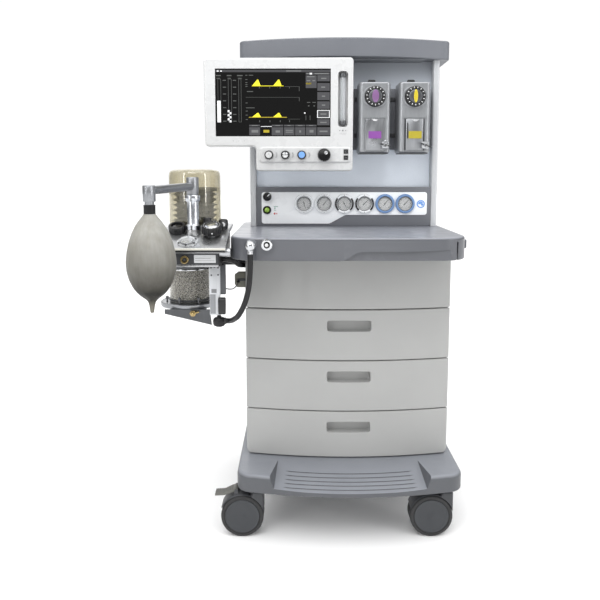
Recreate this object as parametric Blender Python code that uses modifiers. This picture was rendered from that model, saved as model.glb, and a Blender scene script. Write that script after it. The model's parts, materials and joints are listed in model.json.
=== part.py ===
"""Anesthesia machine on a wheeled base: cabinet with three drawers, worktop, gauge panel,
display head with flow controls, two vaporizers, and a circle absorber with bellows and bag.

Working frame while modelling: x to the machine's right-hand side as seen from the front,
y to the back, z up, metres, z = 0 on the floor and x = 0 in the middle of the cabinet.
At the end everything is moved so that the origin is below the middle of the bounding box.
"""
import math

import bmesh
import bpy
from mathutils import Matrix, Vector

# ---------------------------------------------------------------- driving dimensions
GAP = 0.0003            # between pieces that touch
WHEEL_R = 0.0625        # castor wheel radius
WHEEL_W = 0.055         # over both wheels
TRAIL = 0.036           # wheel axle behind the swivel axis
SWIVEL_X = 0.277
SWIVEL_YF = -0.220
SWIVEL_YR = 0.235
BASE_HW = 0.329
BASE_Z0, BASE_Z1 = 0.150, 0.202
BASE_FRONT, BASE_BACK = -0.307, 0.335
CAB_HW = 0.3017
CAB_FRONT, CAB_BACK = -0.1217, 0.300
CAB_Z0, CAB_Z1 = BASE_Z1 + GAP, 0.8250
FRONT_HW = 0.3075       # drawer fronts and top panel
FRONT_MID, FRONT_EDGE = -0.163, -0.131
DRAWERS = ((0.5063, 0.6587), (0.3503, 0.5037), (0.2056, 0.3477))
TOP_Z0, TOP_Z1 = 0.6613, 0.8248
WT_Z0, WT_Z1 = CAB_Z1 + GAP, 0.8880
WT_HW, WT_HW_R = 0.338, 0.3165            # the right half is narrower, for the side rail
WT_FRONT, WT_BACK = -0.322, 0.306
COL_X0, COL_X1 = 0.2884, 0.3090
COL_Y0, COL_Y1 = 0.0985, 0.2985
CAN_Z0, CAN_Z1 = 1.4256, 1.4843
CAN_HW = 0.339
PANEL_Y = 0.1303        # front of the back housing
GAUGE_Z = 0.963
GAUGE_X = (-0.1311, -0.0642, 0.0021, 0.0687, 0.1366, 0.2032)
GAUGE_R = 0.0315
SWITCH = (-0.2523, 0.9857)
LAMP = (-0.2533, 0.9420)
MON_Y0, MON_Y1 = -0.020, 0.035
KNOB_Y = -0.025         # front of the raised control strip
KNOB_Z = 1.1178
KNOB_X = (-0.2400, -0.1895, -0.1388)
KNOB_R = 0.0139
ENC_X, ENC_R = -0.0697, 0.0205
BTN = ((-0.0021, 1.1284), (-0.0021, 1.1097))
BTN_S = 0.0134
VAP_X = (0.0885, 0.2125)
VAP_HW = 0.0488
VAP_Z0, VAP_Z1 = 1.1235, 1.3430
DIAL_Z, DIAL_R = 1.2980, 0.0320
DOME = (-0.4532, -0.130)
DOME_R = 0.0755
PLATE_Z0, PLATE_Z1 = 0.8460, 0.8600     # front lip of the absorber plate
PLATE_Y0, SLOPE_Y1, PLATE_Y1 = -0.3150, -0.2050, -0.0100
SHELF_Z = 0.9055                          # level part of the plate, under the bellows
SLOPE = math.atan2(SHELF_Z - PLATE_Z1, SLOPE_Y1 - PLATE_Y0)
POST = (-0.4419, -0.235)
PAD_Z = 0.9040
BAG = (-0.5140, -0.440)
APL = (-0.3880, -0.245)
CAN = (-0.4685, -0.160)  # canister axis
HOSE_R = 0.0075
BORE_HOSE_R = 0.0090

# ---------------------------------------------------------------- scene and collections
for ob in list(bpy.data.objects):
    bpy.data.objects.remove(ob, do_unlink=True)
parts = bpy.data.collections.new("anesthesia_machine")
tools = bpy.data.collections.new("cutters")
bpy.context.scene.collection.children.link(parts)
bpy.context.scene.collection.children.link(tools)


def material(name, color, rough=0.5, metal=0.0, alpha=1.0):
    m = bpy.data.materials.new(name)
    m.use_nodes = True
    b = m.node_tree.nodes["Principled BSDF"]
    b.inputs["Base Color"].default_value = (*color, 1.0)
    b.inputs["Roughness"].default_value = rough
    b.inputs["Metallic"].default_value = metal
    b.inputs["Alpha"].default_value = alpha
    return m


GREY = material("grey_moulding", (0.29, 0.31, 0.35), 0.45)
GREY_DARK = material("grey_block", (0.20, 0.21, 0.23), 0.5)
WARM = material("warm_white", (0.52, 0.52, 0.50), 0.4)
WHITE = material("white_plastic", (0.80, 0.82, 0.84), 0.35)
ALU = material("satin_aluminium", (0.62, 0.64, 0.66), 0.35, 0.8)
PANEL = material("panel_paint", (0.50, 0.56, 0.62), 0.35, 0.2)
CHROME = material("chrome", (0.80, 0.81, 0.83), 0.12, 1.0)
BLACK = material("black_plastic", (0.02, 0.02, 0.022), 0.4)
CHAR = material("charcoal_plastic", (0.07, 0.072, 0.078), 0.5)
RUBBER = material("black_rubber", (0.015, 0.015, 0.016), 0.6)
GLASS = material("clear_glass", (0.85, 0.87, 0.88), 0.08, 0.0, 0.3)
AMBER = material("smoked_dome", (0.70, 0.66, 0.52), 0.1, 0.0, 0.35)
BAGM = material("bag_rubber", (0.50, 0.49, 0.43), 0.5)
LIME = material("soda_lime", (0.42, 0.40, 0.34), 0.8)
BRASS = material("brass", (0.65, 0.45, 0.20), 0.3, 1.0)
GREEN = material("green_lamp", (0.20, 0.45, 0.05), 0.2)
BLUE = material("blue_plastic", (0.10, 0.22, 0.60), 0.35)
OLIVE = material("olive_plastic", (0.16, 0.16, 0.12), 0.5)
SILVER = material("silver_enamel", (0.62, 0.64, 0.66), 0.3, 0.6)


# ---------------------------------------------------------------- helpers
def link(ob, mat, tool):
    (tools if tool else parts).objects.link(ob)
    if tool:
        ob.hide_render = True
        ob.display_type = "WIRE"
    if mat is not None:
        ob.data.materials.append(mat)
    return ob


def from_bm(name, bm, mat=None, loc=(0, 0, 0), rot=(0, 0, 0), tool=False, smooth=True):
    bmesh.ops.recalc_face_normals(bm, faces=bm.faces)
    me = bpy.data.meshes.new(name)
    bm.to_mesh(me)
    bm.free()
    if smooth:
        me.shade_smooth()
        me.set_sharp_from_angle(angle=math.radians(32))
    ob = bpy.data.objects.new(name, me)
    ob.location = loc
    ob.rotation_euler = rot
    return link(ob, mat, tool)


def bevel(ob, width, segs=2, angle=40):
    m = ob.modifiers.new("bevel", "BEVEL")
    m.width = width
    m.segments = segs
    m.limit_method = "ANGLE"
    m.angle_limit = math.radians(angle)
    return ob


def box(name, x0, x1, y0, y1, z0, z1, mat=None, tool=False, at=None):
    """A box by its limits; its origin is the middle, or the point given."""
    c = Vector(at) if at else Vector(((x0 + x1) / 2, (y0 + y1) / 2, (z0 + z1) / 2))
    bm = bmesh.new()
    bmesh.ops.create_cube(bm, size=1.0)
    mid = Vector(((x0 + x1) / 2, (y0 + y1) / 2, (z0 + z1) / 2))
    for v in bm.verts:
        v.co = Vector((v.co.x * (x1 - x0), v.co.y * (y1 - y0), v.co.z * (z1 - z0))) + mid - c
    return from_bm(name, bm, mat, c, tool=tool, smooth=False)


def cyl(name, p0, p1, r, segs=24, mat=None, tool=False, r2=None):
    """A cylinder or cone between two points."""
    p0, p1 = Vector(p0), Vector(p1)
    d = p1 - p0
    bm = bmesh.new()
    bmesh.ops.create_cone(bm, cap_ends=True, segments=segs, radius1=r,
                          radius2=r if r2 is None else r2, depth=d.length)
    q = d.to_track_quat("Z", "Y")
    return from_bm(name, bm, mat, (p0 + p1) / 2, q.to_euler(), tool=tool)


def prism(name, pts, a0, a1, axis="Z", mat=None, tool=False, at=(0, 0, 0)):
    """A flat outline pushed along an axis. For axis Y the outline is (x, z)."""
    bm = bmesh.new()
    at = Vector(at)
    vs = []
    for u, w in pts:
        co = Vector((u, w, a0)) if axis == "Z" else Vector((u, a0, w)) if axis == "Y" else Vector((a0, u, w))
        vs.append(bm.verts.new(co - at))
    bmesh.ops.contextual_create(bm, geom=vs)
    ext = bmesh.ops.extrude_face_region(bm, geom=bm.faces[:])
    step = Vector((0, 0, a1 - a0)) if axis == "Z" else Vector((0, a1 - a0, 0)) if axis == "Y" else Vector((a1 - a0, 0, 0))
    bmesh.ops.translate(bm, vec=step, verts=[g for g in ext["geom"] if isinstance(g, bmesh.types.BMVert)])
    return from_bm(name, bm, mat, at, tool=tool)


def turned(name, prof, steps=24, mat=None, loc=(0, 0, 0), axis="Z", closed=False, tool=False):
    """A turned piece: profile points (radius, height) run down the outer side."""
    me = bpy.data.meshes.new(name)
    n = len(prof)
    edges = [(i, i + 1) for i in range(n - 1)] + ([(n - 1, 0)] if closed else [])
    me.from_pydata([(r, 0.0, z) for r, z in prof], edges, [])
    ob = bpy.data.objects.new(name, me)
    ob.location = loc
    if axis == "-Y":                      # local +z points to the front
        ob.rotation_euler = (math.radians(90), 0, 0)
    link(ob, mat, tool)
    s = ob.modifiers.new("turn", "SCREW")
    s.axis = "Z"
    s.angle = math.tau
    s.screw_offset = 0.0
    s.steps = steps
    s.render_steps = steps
    s.use_merge_vertices = True
    s.merge_threshold = 0.00001
    s.use_smooth_shade = True
    return ob


def boolean(ob, other, op):
    m = ob.modifiers.new(op.lower(), "BOOLEAN")
    m.operation = op
    m.solver = "EXACT"
    m.object = other
    return ob


def cut(ob, *others):
    for o in others:
        boolean(ob, o, "DIFFERENCE")
    return ob


def join(ob, *others):
    for o in others:
        boolean(ob, o, "UNION")
    return ob


def bowed(hw, y_mid, y_corner, y_back, r_front, r_back, nf=10, nc=5, taper=0.0, y_ref=0.0, right=1.0):
    """Plan outline with a bowed front and rounded corners, anticlockwise from front left.
    The right half may be narrower than the left by the factor right."""
    pts = []
    a = hw - r_front
    for i in range(nf + 1):
        x = -a + 2 * a * i / nf
        pts.append((x, y_mid + (y_corner - y_mid) * (x / a) ** 2))
    for i in range(1, nc + 1):
        t = math.radians(-90 + 90 * i / nc)
        pts.append((a + r_front * math.cos(t), y_corner + r_front + r_front * math.sin(t)))
    b = hw - r_back
    for i in range(0, nc + 1):
        t = math.radians(90 * i / nc)
        pts.append((b + r_back * math.cos(t), y_back - r_back + r_back * math.sin(t)))
    for i in range(0, nc + 1):
        t = math.radians(90 + 90 * i / nc)
        pts.append((-b + r_back * math.cos(t), y_back - r_back + r_back * math.sin(t)))
    for i in range(0, nc):
        t = math.radians(180 + 90 * i / nc)
        pts.append((-a + r_front * math.cos(t), y_corner + r_front + r_front * math.sin(t)))
    return [(x * (right if x > 0 else 1.0) * (1 + taper * (y - y_ref)), y) for x, y in pts]


def rounded(corners, seg=4):
    """Outline from corners (x, z, radius), each corner rounded by its own radius."""
    out = []
    n = len(corners)
    for i, (x, z, r) in enumerate(corners):
        p = Vector((x, z))
        a = Vector(corners[i - 1][:2]) - p
        b = Vector(corners[(i + 1) % n][:2]) - p
        if r <= 0:
            out.append((x, z))
            continue
        ang = a.angle(b)
        t = r / math.tan(ang / 2)
        p0, p1 = p + a.normalized() * t, p + b.normalized() * t
        c = p + (a.normalized() + b.normalized()).normalized() * (r / math.sin(ang / 2))
        v0, v1 = p0 - c, p1 - c
        full = v0.angle_signed(v1)
        for k in range(seg + 1):
            v = v0.copy()
            v.rotate(Matrix.Rotation(-full * k / seg, 2))
            out.append((c.x + v.x, c.y + v.y))
    return out


def smooth_path(pts, count):
    """Evenly read points of a Catmull-Rom curve through the route's points."""
    P = [Vector(p) for p in pts]
    P = [P[0] * 2 - P[1]] + P + [P[-1] * 2 - P[-2]]
    fine = []
    for i in range(1, len(P) - 2):
        for k in range(24):
            t = k / 24
            fine.append(0.5 * ((2 * P[i]) + (P[i + 1] - P[i - 1]) * t
                               + (2 * P[i - 1] - 5 * P[i] + 4 * P[i + 1] - P[i + 2]) * t * t
                               + (3 * P[i] - P[i - 1] - 3 * P[i + 1] + P[i + 2]) * t ** 3))
    fine.append(P[-2])
    d = [0.0]
    for a, b in zip(fine, fine[1:]):
        d.append(d[-1] + (b - a).length)
    out, j = [], 0
    for k in range(count):
        s = d[-1] * k / (count - 1)
        while j < len(d) - 2 and d[j + 1] < s:
            j += 1
        u = (s - d[j]) / max(d[j + 1] - d[j], 1e-9)
        out.append(fine[j].lerp(fine[j + 1], min(u, 1.0)))
    return out


def tube(name, pts, r, count, mat, res=2):
    cu = bpy.data.curves.new(name, "CURVE")
    cu.dimensions = "3D"
    cu.bevel_depth = r
    cu.bevel_resolution = res
    cu.use_fill_caps = True
    sp = cu.splines.new("POLY")
    path = smooth_path(pts, count)
    sp.points.add(len(path) - 1)
    for q, p in zip(sp.points, path):
        q.co = (*p, 1.0)
    return link(bpy.data.objects.new(name, cu), mat, False)


# ---------------------------------------------------------------- base and castors
base = prism("base_moulding",
             bowed(BASE_HW, BASE_FRONT, -0.275, BASE_BACK, 0.050, 0.040, taper=0.02),
             BASE_Z0, BASE_Z1, mat=GREY)
bevel(base, 0.010, 1, 50)
cut(base,
    prism("base_cut_step", [(-0.168, 0.2045), (-0.300, 0.1640), (-0.340, 0.1600), (-0.340, 0.24), (-0.168, 0.24)],
          -0.228, 0.228, axis="X", tool=True),
    box("base_cut_under", -0.225, 0.225, -0.150, 0.315, 0.10, 0.194, tool=True),
    box("base_cut_sides", -0.312, 0.312, -0.150, 0.160, 0.10, 0.194, tool=True))
for sx in (-1, 1):
    for tag, sy in (("f", SWIVEL_YF), ("r", SWIVEL_YR)):
        cut(base, cyl(f"base_socket_{tag}{sx}", (sx * SWIVEL_X, sy, 0.12), (sx * SWIVEL_X, sy, 0.1815),
                      0.0103, 12, tool=True))

hood_pts = [(0.0268, -0.004), (0.0268, 0.0745), (-0.006, 0.0745)]
for k in range(0, 8):
    t = math.radians(66 + (160 - 66) * k / 7)
    hood_pts.append((-TRAIL + 0.0672 * math.cos(t), 0.0672 * math.sin(t)))
for k in range(0, 9):
    t = math.radians(160 + (352 - 160) * k / 8)
    hood_pts.append((-TRAIL + 0.0500 * math.cos(t), 0.0500 * math.sin(t)))

for tag, px, py in (("fl", -SWIVEL_X, SWIVEL_YF), ("fr", SWIVEL_X, SWIVEL_YF),
                    ("rl", -SWIVEL_X, SWIVEL_YR), ("rr", SWIVEL_X, SWIVEL_YR)):
    at = Vector((px, py, WHEEL_R))
    turn = -1 if tag == "rl" else 1         # the rear left castor trails inwards
    hood = prism(f"castor_fork_{tag}", [(px + turn * u, WHEEL_R + w) for u, w in hood_pts],
                 py - 0.0272, py + 0.0272, axis="Y", mat=CHAR, at=at)
    ax = px - turn * TRAIL
    for s in (-1, 1):
        cut(hood, cyl(f"fork_cut_{tag}{s}", (ax, py + s * 0.0078, WHEEL_R), (ax, py + s * 0.04, WHEEL_R),
                      0.0641, 24, tool=True))
    cut(hood, cyl(f"fork_bore_{tag}", (ax, py - 0.02, WHEEL_R), (ax, py + 0.02, WHEEL_R), 0.0054, 8, tool=True))
    join(hood,
         cyl(f"fork_head_{tag}", (px, py, 0.125), (px, py, BASE_Z0 - GAP), 0.0215, 12, tool=True),
         cyl(f"fork_stem_{tag}", (px, py, 0.14), (px, py, 0.180), 0.0098, 10, tool=True))
    if tag == "fl":
        for s in (-1, 1):
            y = py + s * 0.0190
            join(hood, prism(f"fork_ear_{s}", [(px - 0.061, 0.1232), (px - 0.047, 0.1268), (px - 0.048, 0.1420), (px - 0.058, 0.1420)],
                             y - 0.0022, y + 0.0022, axis="Y", tool=True))
    wheel = turned(f"castor_wheels_{tag}",
                   [(0, 0.0275), (0.0590, 0.0275), (WHEEL_R, 0.0240), (WHEEL_R, 0.0084), (0.0050, 0.0084),
                    (0.0050, -0.0084), (WHEEL_R, -0.0084), (WHEEL_R, -0.0240), (0.0590, -0.0275), (0, -0.0275)],
                   24, BLACK, (ax, py, WHEEL_R), axis="-Y")

PEDAL = (-0.3300, SWIVEL_YF, 0.1375)
pedal = prism("brake_pedal",
              [(-0.3935, 0.1205), (-0.3660, 0.1220), (-0.3360, 0.1330), (-0.3300, 0.1330), (-0.3262, 0.1375),
               (-0.3300, 0.1420), (-0.3360, 0.1430), (-0.3670, 0.1290), (-0.3935, 0.1275)],
              SWIVEL_YF - 0.0162, SWIVEL_YF + 0.0162, axis="Y", mat=OLIVE, at=PEDAL)

# ---------------------------------------------------------------- cabinet and drawers
shell = box("cabinet_shell", -CAB_HW, CAB_HW, CAB_FRONT, CAB_BACK, CAB_Z0, CAB_Z1, WARM)
cut(shell,
    box("bay_drawers", -0.2982, 0.2982, -0.2, 0.2965, 0.2060, 0.6580, tool=True),
    box("bay_electronics", -0.2982, 0.2982, -0.2, 0.2965, 0.6615, 0.8215, tool=True))
for i, (z0, z1) in enumerate(DRAWERS):
    zc = z0 + 0.060
    for s in (-1, 1):
        a, b = sorted((s * 0.2785, s * 0.2990))
        join(shell, box(f"runner_{i}{s}", a, b, -0.112, 0.270, zc - 0.006, zc + 0.006, tool=True))

front_plan = bowed(FRONT_HW, FRONT_MID, FRONT_EDGE, -0.1222, 0.0085, 0.0002, nf=12, nc=2)
front_plan = [p for i, p in enumerate(front_plan) if i == 0 or (Vector(p) - Vector(front_plan[i - 1])).length > 0.0006]
top_panel = prism("top_panel", front_plan, TOP_Z0, TOP_Z1, mat=WARM)
cut(top_panel, prism("top_panel_hollow",
                     bowed(0.297, FRONT_MID + 0.004, FRONT_EDGE + 0.0035, -0.100, 0.004, 0.001, nf=10, nc=1),
                     TOP_Z0 + 0.004, TOP_Z1 - 0.004, tool=True))
for i, (z0, z1) in enumerate(DRAWERS):
    d = prism(f"drawer_{i + 1}", front_plan, z0, z1, mat=WARM)
    zc = z1 - 0.0480
    join(d, box(f"drawer_box_{i}", -0.2755, 0.2755, -0.1300, 0.2650, z0 + 0.012, z1 - 0.030, tool=True))
    cut(d, box(f"drawer_hollow_{i}", -0.2730, 0.2730, -0.1190, 0.2625, z0 + 0.015, z1 + 0.01, tool=True),
        prism(f"drawer_grip_{i}",
              rounded([(-0.0630, zc - 0.0155, 0.007), (0.0670, zc - 0.0155, 0.007),
                       (0.0670, zc + 0.0155, 0.007), (-0.0630, zc + 0.0155, 0.007)], 2),
              -0.20, -0.1350, axis="Y", tool=True))

# ---------------------------------------------------------------- worktop
TOP_TAPER = 0.070
wt = prism("worktop", bowed(WT_HW, WT_FRONT, -0.3150, WT_BACK, 0.085, 0.030, taper=TOP_TAPER, y_ref=-0.22,
                             right=WT_HW_R / WT_HW),
           WT_Z0, WT_Z1, mat=GREY)
bevel(wt, 0.007, 1, 50)
cut(wt, box("worktop_under", -0.2850, 0.2850, -0.3000, 0.2800, 0.80, 0.8760, tool=True),
    prism("worktop_wave", [(-0.035, 0.80), (-0.030, 0.8300), (-0.012, 0.8370), (0.008, 0.8480), (0.022, 0.8510),
                           (0.250, 0.8510), (0.262, 0.80)],
          -0.36, -0.3100, axis="Y", tool=True))
join(wt,
     box("worktop_rail", 0.3100, 0.3360, -0.190, 0.010, 0.8460, 0.8720, tool=True),
     cyl("worktop_boss_1", (-0.2750, -0.295, 0.8690), (-0.2750, -0.3180, 0.8690), 0.0155, 20, tool=True),
     cyl("worktop_boss_2", (-0.2323, -0.308, 0.8700), (-0.2323, -0.3180, 0.8700), 0.0170, 20, tool=True))

gas = cyl("gas_outlet", (-0.2750, -0.3183, 0.8690), (-0.2750, -0.3400, 0.8690), 0.0100, 20, CHROME)
ball = bmesh.new()
bmesh.ops.create_uvsphere(ball, u_segments=14, v_segments=8, radius=0.0147)
join(gas, from_bm("gas_ball", ball, loc=(-0.2750, -0.3400, 0.8690), tool=True),
     cyl("gas_spigot", (-0.2750, -0.3400, 0.8640), (-0.2750, -0.3400, 0.8470), 0.0088, 16, tool=True))
turned("aux_outlet", [(0, 0.0170), (0.0075, 0.0170), (0.0110, 0.0150), (0.0115, 0.0090), (0.0160, 0.0085),
                      (0.0160, 0.0003), (0, 0.0003)], 24, CHROME, (-0.2323, -0.3180, 0.8700), axis="-Y")

# ---------------------------------------------------------------- upper frame
for tag, s in (("left", -1), ("right", 1)):
    a, b = sorted((s * COL_X0, s * COL_X1))
    col = box(f"column_{tag}", a, b, COL_Y0, COL_Y1, WT_Z1 + 0.0005, CAN_Z0 - 0.0004, ALU)
    c, e = sorted((s * (COL_X0 - 0.01), s * (COL_X1 - 0.004)))
    cut(col, box(f"column_hollow_{tag}", c, e, COL_Y0 + 0.036, COL_Y1 - 0.004, 0.905, 1.410, tool=True))

housing = box("back_housing", -COL_X0 + 0.0005, COL_X0 - 0.0005, PANEL_Y, COL_Y1, WT_Z1 + 0.0005, CAN_Z0 - 0.0004, PANEL)
cut(housing, box("housing_hollow", -0.2840, 0.2840, PANEL_Y + 0.004, COL_Y1 - 0.004, 0.80, 1.4200, tool=True),
    box("mains_inlet_slot", 0.180, 0.208, COL_Y1 - 0.05, COL_Y1 + 0.05, 0.930, 0.952, tool=True))
for k in range(3):
    x = -0.20 + 0.085 * k
    join(housing, cyl(f"pipeline_inlet_{k}", (x, COL_Y1 - 0.006, 0.960), (x, COL_Y1 + 0.026, 0.960), 0.0105, 16, tool=True))

canopy = prism("canopy", bowed(CAN_HW, 0.0330, 0.0850, 0.3100, 0.0250, 0.0200, nf=12, nc=4), CAN_Z0, CAN_Z1, mat=GREY)
bevel(canopy, 0.004, 1, 50)
cut(canopy, box("canopy_hollow", -0.270, 0.270, 0.150, 0.285, CAN_Z0 - 0.05, CAN_Z1 - 0.006, tool=True))

# ---------------------------------------------------------------- gauge panel
block = box("gauge_block", -COL_X0 + 0.0005, COL_X0 - 0.0005, COL_Y0, PANEL_Y - 0.0005, WT_Z1 + 0.0005, 1.0175, GREY)
for k, x in enumerate(GAUGE_X):
    join(block, cyl(f"gauge_can_{k}", (x, COL_Y0 + 0.010, GAUGE_Z), (x, 0.0880, GAUGE_Z), GAUGE_R, 16, tool=True))
    cut(block, cyl(f"gauge_face_{k}", (x, 0.0920, GAUGE_Z), (x, 0.0800, GAUGE_Z), 0.0230, 12, tool=True))
cut(block, cyl("switch_bore", (SWITCH[0], 0.112, SWITCH[1]), (SWITCH[0], 0.08, SWITCH[1]), 0.0037, 12, tool=True),
    cyl("lamp_bore", (LAMP[0], 0.112, LAMP[1]), (LAMP[0], 0.08, LAMP[1]), 0.0067, 16, tool=True))

fascia = prism("gauge_fascia",
               rounded([(-0.2710, 0.8967, 0.008), (-0.0460, 0.8967, 0.030), (0.0060, 0.9257, 0.030),
                        (0.2755, 0.9257, 0.008), (0.2755, 1.0007, 0.008), (-0.2710, 1.0007, 0.008)], 4),
               0.0960, COL_Y0 - GAP, axis="Y", mat=WHITE)
for k, x in enumerate(GAUGE_X):
    cut(fascia, cyl(f"fascia_hole_{k}", (x, 0.11, GAUGE_Z), (x, 0.08, GAUGE_Z), GAUGE_R + 0.0004, 16, tool=True))
cut(fascia, cyl("fascia_hole_s", (SWITCH[0], 0.11, SWITCH[1]), (SWITCH[0], 0.08, SWITCH[1]), 0.0042, 12, tool=True),
    cyl("fascia_hole_l", (LAMP[0], 0.11, LAMP[1]), (LAMP[0], 0.08, LAMP[1]), 0.0072, 16, tool=True))

turned("power_switch", [(0, 0.0180), (0.0115, 0.0180), (0.0140, 0.0155), (0.0145, 0.0004), (0.0030, 0.0004),
                        (0.0030, -0.0140), (0, -0.0140)], 24, BLACK, (SWITCH[0], 0.0960, SWITCH[1]), axis="-Y")
turned("power_lamp", [(0, 0.0085), (0.0050, 0.0075), (0.0080, 0.0045), (0.0100, 0.0040), (0.0135, 0.0035), (0.0140, 0.0004),
                      (0.0060, 0.0004), (0.0060, -0.0140), (0, -0.0140)], 24, GREEN, (LAMP[0], 0.0960, LAMP[1]), axis="-Y")

# ---------------------------------------------------------------- display head and flow controls
mon = prism("monitor_housing",
            rounded([(-0.4394, 1.4117, 0.009), (-0.4370, 1.1442, 0.009), (-0.2810, 1.1442, 0.010),
                     (-0.2804, 1.0688, 0.009), (0.0198, 1.0688, 0.009), (0.0200, 1.4135, 0.009)], 3),
            MON_Y0, MON_Y1, axis="Y", mat=WHITE)
join(mon, box("monitor_mount", -0.2200, -0.0400, MON_Y1 - 0.004, PANEL_Y - 0.0005, 1.1200, 1.3600, tool=True),
     prism("control_strip", rounded([(-0.2660, 1.0960, 0.010), (0.0110, 1.0960, 0.010), (0.0110, 1.1400, 0.010), (-0.2660, 1.1400, 0.010)], 3),
           KNOB_Y, -0.010, axis="Y", tool=True))
cut(mon, box("screen_pocket", -0.4042, -0.0498, -0.05, MON_Y0 + 0.0040, 1.1750, 1.3794, tool=True),
    box("flow_pocket", -0.0270, 0.0030, -0.05, MON_Y0 + 0.0220, 1.2040, 1.3720, tool=True))
for k, x in enumerate(KNOB_X):
    cut(mon, cyl(f"knob_bore_{k}", (x, KNOB_Y + 0.0160, KNOB_Z), (x, -0.05, KNOB_Z), 0.0035, 12, tool=True))
cut(mon, cyl("encoder_bore", (ENC_X, KNOB_Y + 0.0180, KNOB_Z), (ENC_X, -0.05, KNOB_Z), 0.0035, 12, tool=True))
for k, (x, z) in enumerate(BTN):
    h = BTN_S / 2 + 0.0004
    cut(mon, box(f"button_pocket_{k}", x - h, x + h, -0.05, KNOB_Y + 0.0130, z - h, z + h, tool=True))

box("monitor_screen", -0.4039, -0.0501, MON_Y0 + 0.0004, MON_Y0 + 0.0037, 1.1753, 1.3791, BLACK)
turned("flowmeter_tube", [(0, 0.0790), (0.0105, 0.0790), (0.0105, 0.0670), (0.0085, 0.0650), (0.0085, -0.0650),
                          (0.0105, -0.0670), (0.0105, -0.0790), (0, -0.0790)], 20, GLASS, (-0.0120, -0.0110, 1.2880))
for k, (x, m) in enumerate(zip(KNOB_X, (WHITE, BLACK, BLUE))):
    turned(f"flow_knob_{k + 1}", [(0, 0.0175), (0.0105, 0.0175), (0.0125, 0.0160), (KNOB_R, 0.0003), (0.0030, 0.0003),
                                  (0.0030, -0.0150), (0, -0.0150)], 20, m, (x, KNOB_Y, KNOB_Z), axis="-Y")
turned("encoder_shaft", [(0, 0.0060), (0.0031, 0.0060), (0.0031, -0.0150), (0, -0.0150)], 16, CHROME,
       (ENC_X, KNOB_Y, KNOB_Z), axis="-Y")
turned("encoder_knob", [(0, 0.0210), (0.0170, 0.0210), (0.0195, 0.0185), (ENC_R, 0.0026), (0.0035, 0.0026),
                        (0.0035, 0.0064), (0, 0.0064)], 28, BLACK, (ENC_X, KNOB_Y, KNOB_Z), axis="-Y")
for k, (x, z) in enumerate(BTN):
    h = BTN_S / 2
    box(f"push_button_{k + 1}", x - h, x + h, KNOB_Y - 0.0022, KNOB_Y + 0.0100, z - h, z + h, BLACK)

# ---------------------------------------------------------------- vaporizers
box("backbar", 0.0300, 0.2800, 0.0955, PANEL_Y - 0.0005, 1.1400, 1.3350, BLACK)
for k, x in enumerate(VAP_X):
    v = box(f"vaporizer_{k + 1}", x - VAP_HW, x + VAP_HW, 0.0, 0.0950, VAP_Z0, VAP_Z1, SILVER)
    bevel(v, 0.007, 1)
    join(v, box(f"window_frame_{k}", x - 0.0296, x + 0.0296, -0.0040, 0.010, 1.1317, 1.2299, tool=True),
         box(f"filler_block_{k}", x + 0.0200, x + 0.0450, -0.0220, 0.010, 1.1370, 1.1600, tool=True))
    cut(v, cyl(f"dial_bore_{k}", (x, 0.0160, DIAL_Z), (x, -0.03, DIAL_Z), 0.0045, 12, tool=True),
        cyl(f"lock_bore_{k}", (x - 0.007, 0.0400, 1.330), (x - 0.007, 0.0400, 1.36), 0.0035, 12, tool=True))
    turned(f"vaporizer_dial_{k + 1}",
           [(0, 0.0180), (0.0190, 0.0180), (0.0210, 0.0150), (0.0300, 0.0140), (DIAL_R, 0.0120), (DIAL_R, 0.0004),
            (0.0040, 0.0004), (0.0040, -0.0140), (0, -0.0140)], 20, BLACK, (x, 0.0, DIAL_Z), axis="-Y")
    lock = box(f"vaporizer_lock_{k + 1}", x - 0.0190, x + 0.0050, 0.0310, 0.0490, VAP_Z1 + 0.0004, 1.3550, BLACK,
               at=(x - 0.007, 0.0400, VAP_Z1))
    join(lock, cyl(f"lock_pin_{k}", (x - 0.007, 0.0400, 1.3320), (x - 0.007, 0.0400, 1.3500), 0.0030, 12, tool=True))

# ---------------------------------------------------------------- absorber
def on_slope(x, y, h=0.0):
    """A point h above the sloping part of the plate, square to it."""
    z = PLATE_Z1 + (y - PLATE_Y0) * math.tan(SLOPE)
    return (x, y - h * math.sin(SLOPE), z + h * math.cos(SLOPE))


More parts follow.
